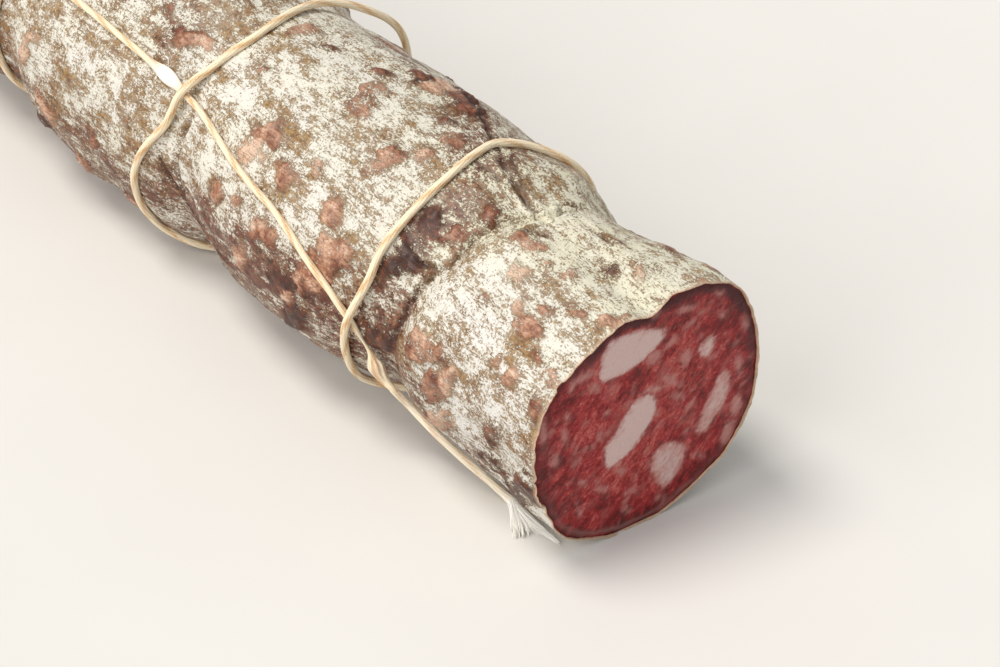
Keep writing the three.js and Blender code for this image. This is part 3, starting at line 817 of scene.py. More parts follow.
# Smaller and softer bits of it: (y, z, half length, half width, turn, whiteness)
LARD_BITS = [
    (14, 46, 2.2, 1.5, 73, 0.6), (12.4, 61.2, 2.7, 1.2, -4, 0.5), (21.8, 61.7, 1.2, 0.7, -41, 0.5),
    (23.6, 54.8, 1.5, 0.8, -42, 0.45), (31, 36.9, 3, 0.9, -74, 0.6), (31.5, 24.4, 3.2, 1.5, 89, 0.65),
    (30, 16.9, 3.6, 1.9, 85, 0.6), (31.2, 48.9, 1.6, 0.7, -72, 0.5), (-19.3, 52.3, 1.9, 1, 88, 0.5),
    (-15.8, 53.8, 2.7, 1.4, 2, 0.5), (-20, 44, 1.5, 0.8, -74, 0.45), (-20.2, 38.1, 2.3, 0.9, -79, 0.6),
    (-9.6, 34, 1.6, 0.9, -68, 0.45), (-12.7, 49, 2.3, 1.3, -47, 0.4), (-22.3, 32.2, 2.6, 1.5, -60, 0.5),
    (-26.5, 42.4, 4.4, 1, -84, 0.45), (-14, 21.7, 1.6, 0.8, -42, 0.5), (-7.9, 17, 2.2, 1, -35, 0.5),
    (-14, 13.3, 1.8, 0.9, -72, 0.5), (12.5, 35.7, 2.5, 1.2, -37, 0.35), (9.7, 42, 2.8, 1.4, -38, 0.45),
    (22.3, 13.1, 1.3, 0.7, -44, 0.45), (-2.4, 19.8, 1.7, 0.9, -38, 0.4), (4.2, 50.6, 2.6, 1.8, -30, 0.45),
    (5.2, 41, 2.6, 0.6, -12, 0.7), (9, 53, 2.4, 1.5, 40, 0.35), (-16, 29, 1.5, 0.9, 60, 0.35),
    (1, 12, 1.6, 1, 20, 0.3), (17, 31, 1.8, 1, 50, 0.3), (14, 56, 1.8, 1.1, 10, 0.35),
]
CRUMB_SEED = 5
CRUMB_COUNT = 70
CRUMB_RADIUS = 31
CRUMB_MIDDLE = (4, 33)


def lard_crumbs():
    """Soft crumbs of lard between the rest"""
    draw = random_numbers(CRUMB_SEED)
    crumbs = []
    for i in range(CRUMB_COUNT):
        radius = CRUMB_RADIUS * math.sqrt((i + 0.5) / CRUMB_COUNT)
        angle = math.radians(i * GOLDEN_ANGLE + 50 * next(draw))
        long = 0.5 + 0.9 * next(draw)
        wide = long * (PATCH_WIDE[0] + PATCH_WIDE[1] * next(draw))
        place = (CRUMB_MIDDLE[0] + radius * math.cos(angle), CRUMB_MIDDLE[1] + radius * math.sin(angle))
        crumbs.append((*place, long, wide, 20 + 60 * next(draw), 0.15 + 0.3 * next(draw)))
    return crumbs


def make_cut(material):
    angles = np.arange(FACE_AROUND) * 360 / FACE_AROUND
    x = np.full(FACE_AROUND, float(CUT_X))
    edge, _ = skin_fields(x, angles)
    wall = EDGE_THICK + FACE_GAP
    side = [body_points(x, angles, edge - (wall + more), wall + more, ahead) for more, ahead in FACE_SIDE]
    outer = body_points(x, angles, edge - wall - FACE_INSET, wall + FACE_INSET)
    cy, cz = middle(np.array([CUT_X]))
    centre = np.array([CUT_X + (cy[0] - CUT_PIVOT_Y) * math.tan(CUT_SLANT), cy[0], cz[0]])
    shares = np.linspace(1, 0, FACE_ROWS + 1)[:-1]
    face = np.vstack([centre + (outer - centre) * f for f in shares])
    radius = np.hypot(*(outer - centre)[:, 1:].T)
    rim = np.concatenate([(1 - f) * radius for f in shares])
    angle = np.tile(angles, FACE_ROWS)
    flat = face * (0, 1, 1)
    depth, white = lard_depth(flat)
    relief = 0.13 * grain(flat, 2.2, 91) + 0.06 * grain(flat, 0.8, 93, 2)
    relief = relief * (1 - 0.7 * rise(depth, -0.2, 0.5) * white) + 0.08 * rise(depth, 0, 0.8) * white
    relief -= 0.06 * hill(depth, 0.3) * white**2 + 0.3 * np.exp(-rim / 0.5)
    face[:, 0] += relief - MEAT_BACK
    rows = np.vstack([*side, face])
    total = len(rows)
    points = np.vstack([rows, centre + (0.05 - MEAT_BACK, 0, 0), side[0].mean(axis=0)])
    faces = band_faces(FACE_ROWS + len(side), FACE_AROUND)
    faces += fan_faces(total, total - FACE_AROUND, FACE_AROUND, False) + fan_faces(total + 1, 0, FACE_AROUND, True)
    band = hill(turn(angle, 258), 44) * 0.45 * hill(rim - 1.2 - 0.9 * grain(flat, 3, 95), 0.8)
    dry = 0.45 + 0.55 * rise(-abs(turn(angle, 75)), -75, -40) + 0.25 * grain(flat, 6, 97)
    sinew = np.maximum.reduce([
        hill(np.hypot(flat[:, 1] - at_y, flat[:, 2] - at_z), spread) for at_y, at_z, spread in SINEWY
    ])
    sides = len(side) * FACE_AROUND
    fields = {
        key: np.concatenate([np.full(sides, at_side), values, [values[-1], at_side]])
        for key, values, at_side in (
            ("lard", depth, FAR_OUTSIDE), ("white", white, 0), ("rim", rim, 0), ("band", band, 0),
            ("sinew", sinew, 0), ("dry", dry, 0),
        )
    }
    return new_piece("cut_meat", points, faces, material, fields)


def inside_outline(y, z, outline):
    """How far inside an outline each point is, negative outside"""
    nearest = np.full(len(y), FAR_AWAY)
    inside = np.zeros(len(y), bool)
    for (y0, z0), (y1, z1) in zip(outline, outline[1:] + outline[:1]):
        t = np.clip(((y - y0) * (y1 - y0) + (z - z0) * (z1 - z0)) / ((y1 - y0) ** 2 + (z1 - z0) ** 2), 0, 1)
        nearest = np.minimum(nearest, np.hypot(y - y0 - t * (y1 - y0), z - z0 - t * (z1 - z0)))
        if z0 != z1:
            inside ^= ((z0 > z) != (z1 > z)) & (y < y0 + (z - z0) * (y1 - y0) / (z1 - z0))
    return np.where(inside, nearest, -nearest)


def lard_depth(places):
    """How far inside the nearest piece of lard each place is, in millimetres, and how white that piece is"""
    y, z = places[:, 1] + 0.5 * grain(places, 3, 81, 2), places[:, 2] + 0.5 * grain(places, 3, 83, 2)
    depth = np.full(len(y), FAR_OUTSIDE)
    white = np.zeros(len(y))
    for outline, whiteness in zip(LARD_OUTLINES, LARD_WHITENESS):
        # Rounded by averaging the distance over a small ring of places
        ring = [math.tau * k / 6 for k in range(6)]
        around = [inside_outline(y + LARD_ROUND * math.cos(a), z + LARD_ROUND * math.sin(a), outline) for a in ring]
        inside = sum(around) / len(around) + LARD_SWELL
        white = np.where((inside > depth) & (inside > LARD_NEAR), whiteness, white)
        depth = np.maximum(depth, inside)
    for at_y, at_z, long, wide, turned, whiteness in LARD_BITS + lard_crumbs():
        inside = in_oval(y - at_y, z - at_z, long, wide, turned) * wide
        white = np.where((inside > depth) & (inside > LARD_NEAR) & (depth < 0.2), whiteness, white)
        depth = np.maximum(depth, inside)
    return depth, white


# Twine

TWINE_SIDES = 36
TWINE_STEP = 0.6
# Points on the curves before they are spaced evenly
RING_POINTS = 720
LENGTHWISE_POINTS = 1400
KNOB_POINTS = 200
TAIL_POINTS = 400
FLOOR_GAP = 0.05
TAIL_LEAN = 0.5
LAY_LENGTH = 26
PLIES = 2
PLY_RELIEF = 0.03
RIBS = 7
RIB_SPACING = 7
RIB_RELIEF = 0.15
# The spindle of turns where the lengthwise twine is tied off, and the thin stretch before it
TIED_AT = 82.2
TIED_REACH = (1.1, 2.4)
THIN_AT = 78.9
THIN_REACH = 1.8
THINNER = 0.5
# Pulled tight, the lengthwise twine is thinner than the rings
PULLED_THIN = 0.86
# The lengthwise twine leaves the casing here and hangs free through its knob to the tail
HANGS_FROM = -5
KNOB_WAY = [
    (75.7, -31.8, 33.8), (77, -31.3, 32.1), (78.9, -30.5, 29.6), (80.4, -29.7, 27.2), (81.6, -29.5, 25),
    (83.2, -28.9, 22.6), (84.7, -28.2, 20.8), (85.9, -27.8, 19.9), (86.6, -27.4, 19.3), (87.3, -26.5, 17.9),
]
TAIL_WAY = [
    (86.6, -27.4, 19.3), (88.1, -25.6, 16.5), (89.7, -24.1, 14.1), (92.3, -23.1, 12.3), (95.8, -22.5, 11),
    (100.4, -21.4, 9), (104.8, -19.6, 6.5), (108.8, -17.9, 4.3), (112.2, -16.7, 2.8), (115.4, -16, 1.8),
    (118.4, -15.7, 1.3), (120.6, -15.8, 1.2),
]


def twine_tree(material):
    """A geometry tree that lays plies round a path. The path's points carry their middle, the directions out
    of and along the casing, the half width and height, and the turn of the plies."""
    tree = bpy.data.node_groups.new("laid twine", "GeometryNodeTree")
    given = tree_inputs(tree, (
        ("Sides", "NodeSocketInt", TWINE_SIDES), ("Plies", "NodeSocketInt", PLIES),
        ("Ply relief", "NodeSocketFloat", PLY_RELIEF), ("Rib relief", "NodeSocketFloat", RIB_RELIEF),
        ("Ribs", "NodeSocketInt", RIBS), ("Rib spacing", "NodeSocketFloat", RIB_SPACING),
    ))
    index = add(tree, "GeometryNodeInputIndex")
    share = add(tree, "ShaderNodeMath", index, given["Sides"], operation="DIVIDE")
    around = add(tree, "ShaderNodeMath", share, math.tau, operation="MULTIPLY")
    circle = add(tree, "GeometryNodeCurvePrimitiveCircle", given["Sides"], sockets={"Radius": 1})
    outline = add(
        tree, "GeometryNodeStoreNamedAttribute", circle, sockets={"Name": "around", "Value": around},
        data_type="FLOAT", domain="POINT",
    )
    path = add(tree, "GeometryNodeMeshToCurve", given["Geometry"])
    tube = add(
        tree, "GeometryNodeCurveToMesh", path, sockets={"Profile Curve": outline, "Fill Caps": True}
    )
    held = {
        name: add(tree, "GeometryNodeInputNamedAttribute", name, data_type="FLOAT")
        for name in ("around", "along", "twist", "knob", "half_width", "half_height")
    }
    held.update({
        name: add(tree, "GeometryNodeInputNamedAttribute", name, data_type="FLOAT_VECTOR")
        for name in ("centre", "side", "out")
    })
    lobes = add(tree, "ShaderNodeMath", held["around"], given["Plies"], operation="MULTIPLY")
    ply = add(tree, "ShaderNodeMath", lobes, operation="COSINE")
    rib_turn = add(tree, "ShaderNodeMath", held["along"], given["Rib spacing"], operation="DIVIDE")
    rib_angle = add(tree, "ShaderNodeMath", held["around"], given["Ribs"], operation="MULTIPLY")
    rib_angle = add(tree, "ShaderNodeMath", rib_turn, math.tau, rib_angle, operation="MULTIPLY_ADD")
    rib = add(tree, "ShaderNodeMath", rib_angle, operation="COSINE")
    rib = add(tree, "ShaderNodeMath", rib, held["knob"], operation="MULTIPLY")
    swell = add(tree, "ShaderNodeMath", ply, given["Ply relief"], 1, operation="MULTIPLY_ADD")
    swell = add(tree, "ShaderNodeMath", rib, given["Rib relief"], swell, operation="MULTIPLY_ADD")
    turned = add(tree, "ShaderNodeMath", held["around"], held["twist"], operation="ADD")
    place = held["centre"]
    for size, wave, direction in (("half_width", "COSINE", "side"), ("half_height", "SINE", "out")):
        reach = add(tree, "ShaderNodeMath", held[size], swell, operation="MULTIPLY")
        swing = add(tree, "ShaderNodeMath", turned, operation=wave)
        reach = add(tree, "ShaderNodeMath", reach, swing, operation="MULTIPLY")
        offset = add(tree, "ShaderNodeVectorMath", held[direction], reach, operation="SCALE")
        place = add(tree, "ShaderNodeVectorMath", place, offset, operation="ADD")
    moved = add(tree, "GeometryNodeSetPosition", tube, sockets={"Position": place})
    # groove is higher between the plies and between the knob's ribs, where the material paints shade
    groove = add(tree, "ShaderNodeMath", ply, -0.5, 0.5, operation="MULTIPLY_ADD")
    dip = add(tree, "ShaderNodeMath", held["knob"], rib, operation="SUBTRACT")
    groove = add(tree, "ShaderNodeMath", dip, 0.45, groove, operation="MULTIPLY_ADD")
    grooved = add(
        tree, "GeometryNodeStoreNamedAttribute", moved, sockets={"Name": "groove", "Value": groove},
        data_type="FLOAT", domain="POINT",
    )
    end_tree(tree, grooved, material)
    return tree


def tree_inputs(tree, table):
    """Gives a geometry tree its sockets and returns its inputs by name"""
    face = tree.interface
    for name, kind, value in (("Geometry", "NodeSocketGeometry", None), *table):
        socket = face.new_socket(name, in_out="INPUT", socket_type=kind)
        if value is not None:
            socket.default_value = value
    face.new_socket("Geometry", in_out="OUTPUT", socket_type="NodeSocketGeometry")
    return tree.nodes.new("NodeGroupInput").outputs


def end_tree(tree, shape, material):
    """Ends a geometry tree with smooth shading, real geometry and the material"""
    shape = add(tree, "GeometryNodeSetShadeSmooth", shape)
    shape = add(tree, "GeometryNodeRealizeInstances", shape)
    shape = add(tree, "GeometryNodeSetMaterial", shape, sockets={"Material": material})
    add(tree, "NodeGroupOutput", shape)


def grow(name, source, tree, values=()):
    """Runs a geometry tree on a source mesh and returns the result as a plain mesh object at the origin"""
    carrier = put(name + "_source", source)
    modifier = carrier.modifiers.new("tree", "NODES")
    modifier.node_group = tree
    for item in tree.interface.items_tree:
        if item.in_out == "INPUT" and item.name in dict(values):
            modifier[item.identifier] = dict(values)[item.name]
    bpy.context.view_layer.update()
    evaluated = carrier.evaluated_get(bpy.context.evaluated_depsgraph_get())
    mesh = bpy.data.meshes.new_from_object(evaluated)
    mesh.name = name
    bpy.data.objects.remove(carrier)
    face_outwards(mesh)
    return put(name, mesh)


def face_outwards(mesh):
    """Turns a closed mesh's faces over if they point inwards"""
    mesh.calc_loop_triangles()
    corners = np.empty(len(mesh.loop_triangles) * 3, int)
    mesh.loop_triangles.foreach_get("vertices", corners)
    places = np.empty(len(mesh.vertices) * 3)
    mesh.vertices.foreach_get("co", places)
    a, b, c = (places.reshape(-1, 3)[corners[k::3]] for k in range(3))
    if np.einsum("ij,ij->i", a, np.cross(b, c)).sum() < 0:
        mesh.flip_normals()


def run_along(points):
    """The distance from the first point to each one, along the line of them"""
    return np.concatenate([[0], np.cumsum(np.linalg.norm(np.diff(points, axis=0), axis=1))])


def make_twine(name, points, outs, widths, heights, closed, tree, fields=()):
    """A twine along points in millimetres"""
    count = len(points)
    if closed:
        tangents = np.roll(points, -1, axis=0) - np.roll(points, 1, axis=0)
    else:
        tangents = np.gradient(points, axis=0)
    tangents /= np.linalg.norm(tangents, axis=1, keepdims=True)
    sides = np.cross(outs, tangents)
    sides /= np.linalg.norm(sides, axis=1, keepdims=True)
    outs = np.cross(tangents, sides)
    along = run_along(points)
    whole = along[-1] + (np.linalg.norm(points[0] - points[-1]) if closed else 0)
    turns = round(whole / LAY_LENGTH) if closed else whole / LAY_LENGTH
    mesh = bpy.data.meshes.new(name + "_path")
    edges = [(i, i + 1) for i in range(count - 1)] + ([(count - 1, 0)] if closed else [])
    mesh.from_pydata((points * MM).tolist(), edges, [])
    numbers = dict(
        half_width=widths * MM, half_height=heights * MM, along=along, twist=along / whole * turns * math.tau,
        knob=np.zeros(count), pale=np.zeros(count),
    )
    numbers.update(fields)
    write_fields(mesh, "FLOAT", "value", numbers)
    write_fields(mesh, "FLOAT_VECTOR", "vector", dict(centre=points * MM, side=sides, out=outs))
    return grow(name, mesh, tree)


def respaced(points, extra, spacing, closed=False):
    """Points and what goes with them, moved to even steps along their line"""
    line = np.vstack([points, points[:1]]) if closed else points
    more = np.vstack([extra, extra[:1]]) if closed else extra
    along = run_along(line)
    count = int(along[-1] / spacing)
    at = np.linspace(0, along[-1], count + 1)[:count if closed else count + 1]
    new = np.stack([np.interp(at, along, line[:, k]) for k in range(3)], axis=1)
    return new, np.stack([np.interp(at, along, more[:, k]) for k in range(more.shape[1])], axis=1)


def make_ring(name, route, tree):
    angle = np.linspace(0, 360, RING_POINTS + 1)[:-1]
    x, lift = ring_at(route, angle)
    points, outs = over_casing(x, angle, sunk(lift))
    points[:, 2] = np.maximum(points[:, 2], TWINE / 2 + FLOOR_GAP)
    points, outs = respaced(points, outs, TWINE_STEP, closed=True)
    half = np.full(len(points), TWINE / 2)
    return make_twine(name, points, outs, half, half, True, tree)


def make_lengthwise(tree):
    pieces = NECK_TURNS * NECK_TURN_POINTS
    back = 1 - np.arange(pieces) / pieces
    turns = np.stack([
        NECK_TURNS_END_X - NECK_PITCH * NECK_TURNS * back, LENGTH_START_ANGLE + 360 * NECK_TURNS * back,
        np.full(pieces, NECK_LIFT),
    ], axis=1)
    way = through(np.vstack([turns, LENGTHWISE[:HANGS_FROM]]), LENGTHWISE_POINTS)
    points, outs = over_casing(way[:, 0], way[:, 1], sunk(way[:, 2]))
    hanging = through([points[-1], *KNOB_WAY], KNOB_POINTS)[1:]
    points = np.vstack([points, hanging])
    outs = np.vstack([outs, np.tile(outs[-1], (len(hanging), 1))])
    points, outs = respaced(points, outs, TWINE_STEP)
    x = points[:, 0]
    opened = hill(x - OPEN_AT, OPEN_REACH)
    on_near_side = points[:, 1] < MIDDLE_Y[0][1]
    knob = on_near_side * hill(x - TIED_AT, np.where(x < TIED_AT, *TIED_REACH))
    thin = on_near_side * hill(x - THIN_AT, THIN_REACH)
    thicker = PULLED_THIN + (1 + KNOB_THICKER - PULLED_THIN) * knob - THINNER * thin
    widths = (TWINE / 2 + OPEN_WIDER * opened) * thicker
    heights = (TWINE / 2 - OPEN_THINNER * opened) * thicker
    fields = dict(knob=knob, pale=np.clip(opened * 1.3 + 0.3 * knob, 0, 1))
    return make_twine("twine_lengthwise_laid", points, outs, widths, heights, False, tree, fields)


def make_tail(tree):
    way = through(TAIL_WAY, TAIL_POINTS)
    outs = np.tile(np.array([0, -TAIL_LEAN, 1]) / math.hypot(TAIL_LEAN, 1), (len(way), 1))
    points, outs = respaced(way, outs, TWINE_STEP)
    share = np.linspace(0, 1, len(points))
    widths = PULLED_THIN * TAIL_WIDTH / 2 * (1 + 0.2 * rise(share, 0.88, 1))
    heights = np.full(len(points), PULLED_THIN * TWINE / 2)
    fields = dict(pale=0.35 + 0.65 * rise(share, 0.82, 1))
    return make_twine("twine_tail_laid", points, outs, widths, heights, False, tree, fields), points


# The frayed end: fibres fan out from the twine's end to ragged tips on a line of (x, y)
FRAY_ROOT = (120.2, -15.8, 1.2)
FRAY_TIPS = [
    (127.4, -22.3), (128.7, -22), (129.8, -21.1), (130.8, -19), (131.5, -16.7), (132.6, -16.1),
    (134.6, -15.9), (137.4, -15.3),
]
LOCKS = 23
FIBRES = 900
FIBRE_POINTS = 9
FIBRE_THICK = 0.36
FIBRE_SIDES = 4
FIBRE_WAVE = 0.35
FIBRE_WAVELENGTH = 2.5
FIBRE_FLOOR = 0.2
BUNDLE = (1.1, 0.9)
LOOSE_EVERY = 9
LOOSE = 1.8
GATHERED = 0.7
TIP_STEPS = 100
FRAY_BACK = 1.2
FRAY_SEED = 9


def fibre_tree(material):
    """A geometry tree that draws each loose fibre as a thin wavy tube that tapers"""
    tree = bpy.data.node_groups.new("loose fibres", "GeometryNodeTree")
    given = tree_inputs(tree, (
        ("Thickness", "NodeSocketFloat", FIBRE_THICK * MM), ("Sides", "NodeSocketInt", FIBRE_SIDES),
        ("Waves", "NodeSocketFloat", FIBRE_WAVE * MM), ("Wavelength", "NodeSocketFloat", FIBRE_WAVELENGTH * MM),
        ("Seed", "NodeSocketInt", FRAY_SEED),
    ))
    path = add(tree, "GeometryNodeMeshToCurve", given["Geometry"])
    along = add(tree, "GeometryNodeSplineParameter", output="Factor")
    place = add(tree, "GeometryNodeInputPosition")
    scale = add(tree, "ShaderNodeMath", 1, given["Wavelength"], operation="DIVIDE")
    wave = add(
        tree, "ShaderNodeTexNoise", sockets={"Vector": place, "W": given["Seed"], "Scale": scale, "Detail": 1},
        noise_dimensions="4D", output="Color",
    )
    shift = add(tree, "ShaderNodeVectorMath", wave, (0.5, 0.5, 0.5), operation="SUBTRACT")
    reach = add(tree, "ShaderNodeMath", along, given["Waves"], operation="MULTIPLY")
    reach = add(tree, "ShaderNodeMath", reach, 2, operation="MULTIPLY")
    offset = add(tree, "ShaderNodeVectorMath", shift, reach, operation="SCALE")
    wavy = add(tree, "GeometryNodeSetPosition", path, sockets={"Offset": offset})
    circle = add(tree, "GeometryNodeCurvePrimitiveCircle", given["Sides"], sockets={"Radius": 1})
    taper = add(tree, "ShaderNodeMath", along, 2, operation="POWER")
    taper = add(tree, "ShaderNodeMath", taper, -0.75, 1, operation="MULTIPLY_ADD")
    half = add(tree, "ShaderNodeMath", given["Thickness"], 0.5, operation="MULTIPLY")
    half = add(tree, "ShaderNodeMath", half, taper, operation="MULTIPLY")
    tubes = add(
        tree, "GeometryNodeCurveToMesh", wavy,
        sockets={"Profile Curve": circle, "Scale": half, "Fill Caps": True},
    )
    end_tree(tree, tubes, material)
    return tree


def make_frayed_end(tree):
    """Fibres that leave the twine's end in locks, each drawn together at its tip, and a few loose ones"""
    draw = random_numbers(FRAY_SEED)
    tips = through([(x, y, 0) for x, y in FRAY_TIPS], TIP_STEPS)
    root = np.array(FRAY_ROOT)
    back = root - TAIL_WAY[-3]
    back /= np.linalg.norm(back)
    locks = [
        (min(TIP_STEPS - 1, int(TIP_STEPS * (k + next(draw)) / LOCKS)), 0.8 + 0.24 * next(draw))
        for k in range(LOCKS)
    ]
    points, edges = [], []
    for i in range(FIBRES):
        share, reach = locks[i % LOCKS]
        loose = GATHERED if i % LOOSE_EVERY else LOOSE
        turned = math.tau * next(draw)
        out = math.sqrt(next(draw))
        start = root + out * np.array([0, BUNDLE[0] * math.cos(turned), BUNDLE[1] * math.sin(turned)])
        start -= back * FRAY_BACK * next(draw) ** 2
        tip = root + (tips[share] - root) * (reach - 0.25 * next(draw) ** 2)
        tip += (loose * (next(draw) - 0.5), loose * (next(draw) - 0.5), 0)
        tip[2] = 0.3 + 0.9 * next(draw)
        bow = 0.9 * (next(draw) - 0.5) + 0.7 * (0.5 - share / TIP_STEPS)
        first = len(points)
        for k in range(FIBRE_POINTS):
            t = k / (FIBRE_POINTS - 1)
            line = start + (tip - start) * t
            line[1] += bow * math.sin(math.pi * t)
            line[2] = start[2] + (tip[2] - start[2]) * (1 - (1 - t) ** 2)
            points.append(np.maximum(line, (-np.inf, -np.inf, FIBRE_FLOOR)))
        edges += [(first + k, first + k + 1) for k in range(FIBRE_POINTS - 1)]
    mesh = bpy.data.meshes.new("fibre_paths")
    mesh.from_pydata((np.array(points) * MM).tolist(), edges, [])
    return grow("twine_frayed_fibres", mesh, tree)


# Materials

def surface(tree, shader, colour, rough, height, deep, strength):
    """Gives a material its colour, its roughness and a fine relief, which is so many millimetres deep"""
    bump = add(tree, "ShaderNodeBump", sockets={"Height": height, "Distance": deep * MM, "Strength": strength})
    for value, name in ((colour, "Base Color"), (rough, "Roughness"), (bump, "Normal")):
        tree.links.new(value, shader.inputs[name])


def casing_material():
    """Natural hog casing, dried on and grown over with white mould: a chalky bloom in fine grains with no
    gloss, and between them the bare skin, thin, tight and slightly waxy, in the colour of the lard or meat
    beneath. The grains are drawn a little coarser than life, to show."""
    material, tree, shader = new_material("dried casing with white mould", {"Specular IOR Level": 0.4})
    place = add(tree, "ShaderNodeTexCoord", output="Object")
    grainy = add_noises(tree, place, (
        ("grain", 0.58, 3, (1, 1, 1)), ("clump", 2.1, 4, (1.3, 1, 1)), ("wide", 8, 3, (1, 1, 1)),
        ("streak", 0.8, 3, (7, 1, 1)), ("skin", 4, 4, (1, 1, 1)), ("spot", 0.9, 3, (1, 1, 1)),
        ("haze", 1.3, 4, (1, 1, 1)), ("pin", 0.7, 1, (1, 1, 1)), ("wrinkle", 1.4, 2, (5, 1, 1)),
    ))
    held = {
        name: add(tree, "ShaderNodeAttribute", attribute_name=name, output="Fac")
        for name in ("mould", "tone", "bare", "warm", "green", "streaks", "dark", "edge")
    }

    # How much the mould covers each place: its share, broken up into clumps and grains
    streaked = add(tree, "ShaderNodeMath", grainy["streak"], 0.5, operation="SUBTRACT")
    streaked = add(tree, "ShaderNodeMath", streaked, held["streaks"], operation="MULTIPLY")
    cover = add(tree, "ShaderNodeMath", streaked, 1.4, held["mould"], operation="MULTIPLY_ADD")
    cover = vary(tree, cover, grainy, clump=1.6, wide=0.9)
    grains = vary(tree, cover, grainy, grain=2.1)
    wrinkle = add(tree, "ShaderNodeMath", grainy["wrinkle"], 0.5, operation="SUBTRACT")
    wrinkle = add(tree, "ShaderNodeMath", wrinkle, operation="ABSOLUTE")
    wrinkle = add(tree, "ShaderNodeMapRange", wrinkle, 0.04, 0.005, interpolation_type="SMOOTHSTEP")
    grains = add(tree, "ShaderNodeMath", wrinkle, -0.3, grains, operation="MULTIPLY_ADD")
    bloom = add(tree, "ShaderNodeMapRange", grains, 0.44, 0.56, interpolation_type="SMOOTHSTEP")
    thick = add(tree, "ShaderNodeMapRange", grains, 0.5, 0.9, interpolation_type="SMOOTHSTEP")

    # The skin over lard and meat, mottled
    tone = vary(tree, held["tone"], grainy, skin=1.2, clump=0.9, haze=0.8, pin=0.4)
    skin = add(tree, "ShaderNodeValToRGB", tone, stops=(
        (0, "#d5b59b"), (1, "#3f231a"), (0.25, "#ba8f74"), (0.5, "#97654b"), (0.68, "#76432e"), (0.85, "#59301f"),
    ))

    # The skin between the grains, olive on top and red-brown low down
    warm = vary(tree, held["warm"], grainy, skin=2)
    ground = add(tree, "ShaderNodeMix", warm, "#a07d4c", "#743a28", data_type="RGBA")
    shade = add(tree, "ShaderNodeMapRange", grainy["spot"], 0.42, 0.62, interpolation_type="SMOOTHSTEP")
    deep = add(tree, "ShaderNodeMath", held["warm"], 0.45, 0.5, operation="MULTIPLY_ADD")
    shade = add(tree, "ShaderNodeMath", shade, deep, operation="MULTIPLY")
    ground = add(tree, "ShaderNodeMix", shade, ground, "#3d2917", data_type="RGBA")
    skin = add(tree, "ShaderNodeMix", held["bare"], ground, skin, data_type="RGBA")
    # Painted shade: darker in the creases, behind the fold, in the waist recess, round the foot of each bare lump and
    # along the fine wrinkles
    dark = add(tree, "ShaderNodeMath", held["dark"], 0.6, operation="MULTIPLY")
    dark = add(tree, "ShaderNodeMath", wrinkle, 0.5, dark, operation="MULTIPLY_ADD", use_clamp=True)
    skin = add(tree, "ShaderNodeMix", dark, skin, "#382016", data_type="RGBA")

    # A thin film of mould on the bare skin, and then the grains
    film = add(tree, "ShaderNodeMath", grainy["haze"], 1.2, cover, operation="MULTIPLY_ADD")
    film = add(tree, "ShaderNodeMapRange", film, 0.8, 1.6, 0, 0.5)
    skin = add(tree, "ShaderNodeMix", film, skin, "#d9c5ac", data_type="RGBA")
    powder = add(tree, "ShaderNodeMix", thick, "#c4b59f", "#dad6ce", data_type="RGBA")
    green = add(tree, "ShaderNodeMath", grainy["wide"], held["green"], operation="MULTIPLY")
    powder = add(tree, "ShaderNodeMix", green, powder, "#dbd5b2", data_type="RGBA")
    colour = add(tree, "ShaderNodeMix", bloom, skin, powder, data_type="RGBA")
    pin = add(tree, "ShaderNodeMapRange", grainy["pin"], 0.64, 0.72, 0, 0.7, interpolation_type="SMOOTHSTEP")
    colour = add(tree, "ShaderNodeMix", pin, colour, "#6e5539", data_type="RGBA")
    colour = add(tree, "ShaderNodeMix", held["edge"], colour, "#d2b294", data_type="RGBA")

    rough = add(tree, "ShaderNodeMapRange", bloom, sockets={"To Min": 0.45, "To Max": 0.95})
    height = add(tree, "ShaderNodeMath", thick, 0.5, bloom, operation="MULTIPLY_ADD")
    height = add(tree, "ShaderNodeMath", grainy["streak"], 0.6, height, operation="MULTIPLY_ADD")
    surface(tree, shader, colour, rough, height, 0.2, 0.9)
    return material


